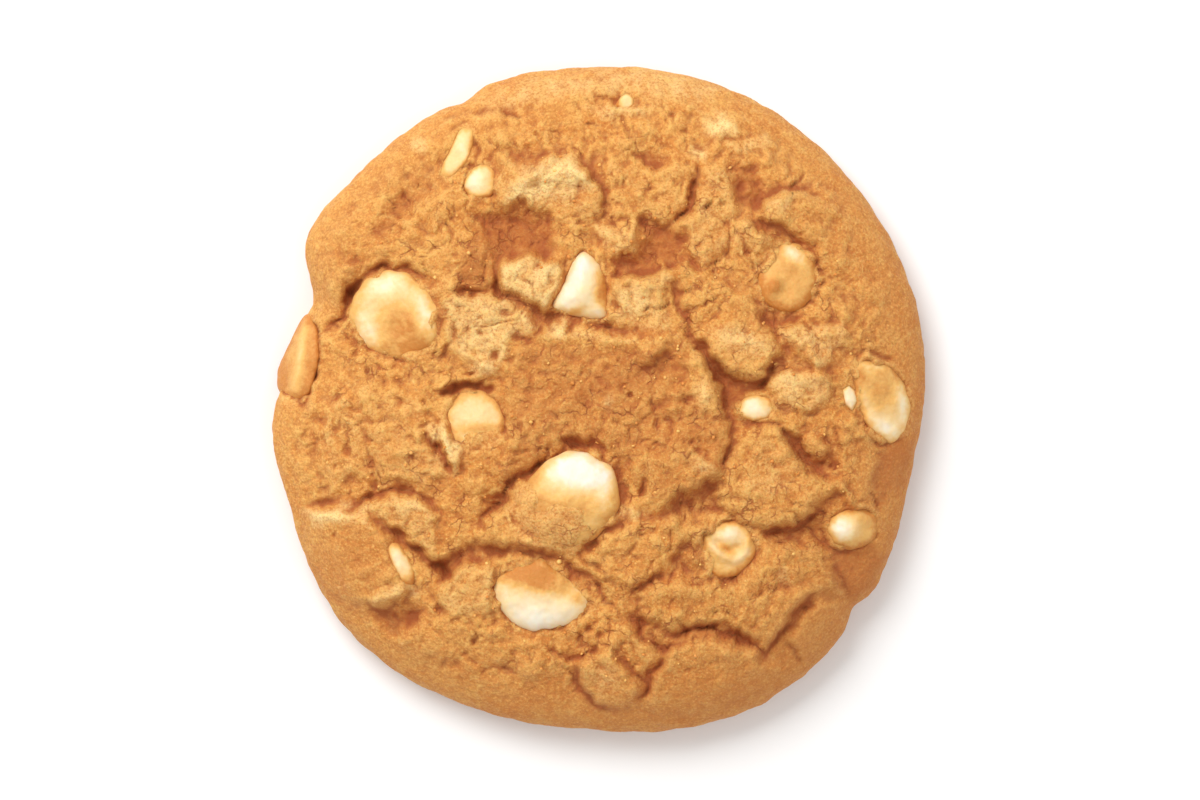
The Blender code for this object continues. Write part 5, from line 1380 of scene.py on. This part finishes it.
# Plate tints add browned crust and painted shade, and steep walls get painted shade
browned_and_shade += np.clip(TINT_SHARE * tint, 0.0, 1.0) + WALL_SHADE * ease(*WALL_SLOPES, steep)


def crust_tone():
    """The tone map read at each point of the crust, and browner towards the foot of the side."""
    x, y, z = points.T
    layers = [read_map(np.clip(layer, 0.0, 1.0), x, y) for layer in (hollow_shade, crest_highlight, pale, browned_and_shade)]
    layers[3] = np.clip(layers[3] + FOOT_BROWN * ease(*FOOT_HEIGHTS, z), 0.0, 1.0)
    return np.stack(layers, axis=-1)


GOLD = (0.765, 0.350, 0.083)
TAN = (0.705, 0.272, 0.054)
PALE_DOUGH = (0.93, 0.56, 0.165)
CREAMY_DOUGH = (0.98, 0.72, 0.31)
BROWN_DOUGH = (0.50, 0.150, 0.032)
HOLLOW_SHADE_DOUGH = (0.40, 0.094, 0.026)
SAND_SIZE = 0.55 * MM
SAND_HEIGHT = -0.5
CRACK_HEIGHT = 0.6
CRACK_CELL = 2.4 * MM
CRACK_CLOUD = 2.4 * MM
CRACK_BEND = 1.8 * MM
BEND_SIZE = 1.3 * MM
CRACK_LINE = (0.055, 0.01)
CRACK_FREE_RIM = (36.0 * MM, 31.0 * MM)


def fine_cracks(tree, place):
    """Thin, bent cracks between uneven cells, in clouds, and none near the rim."""
    noise = {"Vector": place, "Scale": 1.0 / BEND_SIZE, "Detail": 3.0}
    bend = add_node(tree, "ShaderNodeTexNoise", noise).outputs["Color"]
    bent = {0: bend, 1: (CRACK_BEND, CRACK_BEND, CRACK_BEND), 2: place}
    bent = add_node(tree, "ShaderNodeVectorMath", bent, operation="MULTIPLY_ADD").outputs[0]
    cells = {"Vector": bent, "Scale": 1.0 / CRACK_CELL}
    edge = add_node(tree, "ShaderNodeTexVoronoi", cells, feature="DISTANCE_TO_EDGE").outputs["Distance"]
    cloud = stretch(tree, speckle(tree, place, CRACK_CLOUD, detail=3.0, roughness=0.6), 0.48, 0.62)
    far = add_node(tree, "ShaderNodeVectorMath", {0: place}, operation="LENGTH").outputs["Value"]
    crack = reckon(tree, "MULTIPLY", stretch(tree, edge, *CRACK_LINE), cloud)
    return reckon(tree, "MULTIPLY", crack, stretch(tree, far, *CRACK_FREE_RIM))


def crust_finish():
    """Golden crust: clouds of gold and tan, a painted highlight on crests, browned patches that also hold
    painted shade, painted shade in hollows and dark fine cracks, and a fine grain.
    """
    finish, tree, shader, place = new_finish(
        "baked_crust_finish", roughness=0.68, specular=0.28, scatter=0.30, depth=0.8 * MM
    )
    tone = add_node(tree, "ShaderNodeAttribute", attribute_name="tone")
    deep, high, light = add_node(tree, "ShaderNodeSeparateColor", {0: tone.outputs["Color"]}).outputs
    brown_and_shade = tone.outputs["Alpha"]
    cloud = speckle(tree, place, 5.0 * MM, detail=4.0, roughness=0.6)
    mottle = speckle(tree, place, 1.3 * MM, detail=4.0, roughness=0.6)
    grain = speckle(tree, place, 0.30 * MM, detail=3.0, roughness=0.7)
    # Painted shade in the fine cracks, less on pale crust; the same cracks also dent the bump
    split = stretch(tree, light, 0.0, 0.6, 0.75, 0.25)
    split = reckon(tree, "MULTIPLY", fine_cracks(tree, place), split)
    cream = reckon(tree, "MULTIPLY", light, stretch(tree, grain, 0.34, 0.56, 0.25, 1.0))
    sugar = stretch(tree, grain, 0.52, 0.70, 0.0, 0.75)
    sugar = reckon(tree, "MULTIPLY", stretch(tree, brown_and_shade, 0.2, 0.9, 1.0, 0.3), sugar)
    dark = stretch(tree, grain, 0.47, 0.30, 0.0, 0.7)
    dark = reckon(tree, "MULTIPLY", stretch(tree, light, 0.0, 0.8, 1.0, 0.3), dark)
    colour = TAN
    for amount, other in (
        (stretch(tree, cloud, 0.35, 0.65), GOLD),
        (stretch(tree, mottle, 0.50, 0.72, 0.0, 0.55), PALE_DOUGH),
        (stretch(tree, mottle, 0.46, 0.30, 0.0, 0.35), BROWN_DOUGH),
        # Painted highlight on crests
        (stretch(tree, high, 0.1, 1.0, 0.0, 0.45), PALE_DOUGH),
        (stretch(tree, cream, 0.05, 0.9), CREAMY_DOUGH),
        # Browned crust with painted shade
        (stretch(tree, brown_and_shade, 0.05, 1.0, 0.0, 0.75), BROWN_DOUGH),
        (sugar, PALE_DOUGH),
        (dark, BROWN_DOUGH),
        # Painted shade in hollows, then in the fine cracks
        (stretch(tree, deep, 0.06, 0.85, 0.0, 0.82), HOLLOW_SHADE_DOUGH),
        (split, HOLLOW_SHADE_DOUGH),
    ):
        colour = blend(tree, amount, colour, other)
    tree.links.new(colour, shader.inputs["Base Color"])
    cells = {"Vector": place, "Scale": 1.0 / SAND_SIZE}
    sand = add_node(tree, "ShaderNodeTexVoronoi", cells).outputs["Distance"]
    crumb = speckle(tree, place, 0.6 * MM, detail=6.0, roughness=0.72)
    height = reckon(tree, "MULTIPLY_ADD", sand, SAND_HEIGHT, crumb)
    height = reckon(tree, "MULTIPLY_ADD", split, -CRACK_HEIGHT, height)
    bump = add_node(tree, "ShaderNodeBump", {"Strength": 1.0, "Distance": 0.35 * MM, "Height": height})
    tree.links.new(bump.outputs[0], shader.inputs["Normal"])
    return finish


crust = new_piece("baked_crust", points, crust_faces, crust_finish(), crust_tone())
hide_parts("cookie_dough")

# Loose crumbs
# Grains of sugar and crumbs of crust that stuck to the top as it baked. All are in one mesh of small,
# uneven twenty-sided grains that sit half sunk in the crust.

CRUMB_COUNT = 420
CRUMB_SEED = 91
CRUMB_SIZES = (0.10, 0.30)
CRUMB_SHRINK = (0.6, 1.0)
CORNER_REACH = (0.75, 1.2)
CRUMB_STRETCH = (0.7, 1.2)
CRUMB_REACH = 0.84
LOWEST_CRUMB = -0.5 * MM
CRUMB_LIFT = 0.2
GOLDEN = (1.0 + math.sqrt(5.0)) / 2.0
CORNERS = np.array([np.roll((0, s, t * GOLDEN), -k) for k in range(3) for s in (-1, 1) for t in (-1, 1)])
LONGEST_SIDE = 2.1
SIDES = [
    side for side in combinations(range(len(CORNERS)), 3)
    if max(np.linalg.norm(CORNERS[i] - CORNERS[j]) for i, j in combinations(side, 2)) < LONGEST_SIDE
]
GRAIN_FACES = [side if np.linalg.det(CORNERS[list(side)]) > 0 else side[::-1] for side in SIDES]


def crumb_grains():
    """Seeded places on the bare top, away from chips and hollows, each with a stretched and turned grain.

    A grain is the unit shape times three half sizes and a per-corner unevenness, turned about the vertical.
    """
    draw = np.random.default_rng(CRUMB_SEED)
    angle = draw.uniform(0.0, 2 * math.pi, CRUMB_COUNT)
    far = ROUND_RADIUS * CRUMB_REACH * draw.uniform(0.0, 1.0, CRUMB_COUNT) ** 0.5
    x = far * np.cos(angle)
    y = far * np.sin(angle)
    bare = np.minimum.reduce([crown(form, x, y)[0] for form in (*CHIPS.values(), *NUTS.values())]) > 1.0
    bare &= read_map(rise, x, y) > LOWEST_CRUMB
    x = x[bare]
    y = y[bare]
    count = len(x)
    half = draw.uniform(*CRUMB_SIZES, count) * draw.uniform(*CRUMB_SHRINK, count) * MM
    uneven = draw.uniform(*CORNER_REACH, (count, len(CORNERS), 1))
    uneven = uneven * draw.uniform(*CRUMB_STRETCH, (count, 1, 3))
    unit = CORNERS / np.linalg.norm(CORNERS[0])
    grains = unit[None] * uneven * half[:, None, None]
    turn = draw.uniform(0.0, 2 * math.pi, count)[:, None]
    turned_x = grains[..., 0] * np.cos(turn) - grains[..., 1] * np.sin(turn)
    turned_y = grains[..., 0] * np.sin(turn) + grains[..., 1] * np.cos(turn)
    level = read_map(dough_top, x, y) + CRUMB_LIFT * half
    made = np.stack([turned_x + x[:, None], turned_y + y[:, None], grains[..., 2] + level[:, None]], axis=-1)
    faces = np.array(GRAIN_FACES)[None] + len(CORNERS) * np.arange(count)[:, None, None]
    tint = np.repeat(draw.uniform(0.0, 1.0, count), len(CORNERS))
    tone = np.stack([tint, tint, tint, np.ones_like(tint)], axis=-1)
    return made.reshape(-1, 3), faces.reshape(-1, 3).tolist(), tone


def crumb_finish():
    """Crumbs from tan to pale, by the tone of each."""
    finish, tree, shader, place = new_finish(
        "crumb_finish", roughness=0.55, specular=0.4, scatter=0.15, depth=0.3 * MM
    )
    tone = add_node(tree, "ShaderNodeAttribute", attribute_name="tone").outputs["Fac"]
    colour = blend(tree, stretch(tree, tone, 0.3, 1.0), TAN, PALE_DOUGH)
    tree.links.new(colour, shader.inputs["Base Color"])
    return finish


crumb_points, crumb_faces, crumb_tone = crumb_grains()
new_piece("loose_crumbs", crumb_points, crumb_faces, crumb_finish(), crumb_tone)

# Floor, light and camera
# A pale floor under the cookie, one large soft light from the upper left, a weaker fill from the right, and
# a pale surround. The camera looks straight down with a long lens, as the picture was taken.

FLOOR_HALF = 1.5
FLOOR_COLOUR = (0.92, 0.92, 0.92)
DULL_ROUGHNESS = 0.9
DULL_SHINE = 0.1
SURROUND_COLOUR = (1.0, 0.98, 0.955, 1.0)
SURROUND_STRENGTH = 0.62
PICTURE_WIDTH = 144.0 * MM
LENS = 120.0
SENSOR = 36.0
PICTURE_LEVEL = 5.0 * MM
CLIP = (0.01, 10.0)


def plain_finish(name, colour):
    """A dull material of one colour."""
    finish = bpy.data.materials.new(name)
    finish.use_nodes = True
    shader = finish.node_tree.nodes["Principled BSDF"]
    shader.inputs["Base Color"].default_value = (*colour, 1.0)
    shader.inputs["Roughness"].default_value = DULL_ROUGHNESS
    shader.inputs["Specular IOR Level"].default_value = DULL_SHINE
    return finish


def area_light(name, place, power, width):
    """A square light that looks at the cookie."""
    lamp = bpy.data.lights.new(name, "AREA")
    lamp.energy = power
    lamp.size = width
    holder = bpy.data.objects.new(name, lamp)
    holder.location = place
    holder.rotation_euler = (-Vector(place)).to_track_quat("-Z", "Y").to_euler()
    bpy.context.scene.collection.objects.link(holder)


floor_mesh = bpy.data.meshes.new("floor")
floor_corners = [(x * FLOOR_HALF, y * FLOOR_HALF, 0) for x, y in ((-1, -1), (1, -1), (1, 1), (-1, 1))]
floor_mesh.from_pydata(floor_corners, [], [(0, 1, 2, 3)])
floor_mesh.materials.append(plain_finish("floor_finish", FLOOR_COLOUR))
floor = bpy.data.objects.new("floor", floor_mesh)
bpy.context.scene.collection.objects.link(floor)

area_light("key", place=(-0.32, 0.46, 0.62), power=5.95, width=0.5)
area_light("fill", place=(0.45, -0.25, 0.70), power=1.2, width=0.6)
surround = bpy.data.worlds.new("surround")
surround.use_nodes = True
surround.node_tree.nodes["Background"].inputs["Color"].default_value = SURROUND_COLOUR
surround.node_tree.nodes["Background"].inputs["Strength"].default_value = SURROUND_STRENGTH
scene = bpy.context.scene
scene.world = surround
scene.view_settings.view_transform = "Standard"

lens = bpy.data.cameras.new("camera")
lens.lens = LENS
lens.sensor_width = SENSOR
lens.clip_start, lens.clip_end = CLIP
camera = bpy.data.objects.new("camera", lens)
camera.location = (0.0, 0.0, PICTURE_LEVEL + PICTURE_WIDTH * LENS / SENSOR)
scene.collection.objects.link(camera)
scene.camera = camera
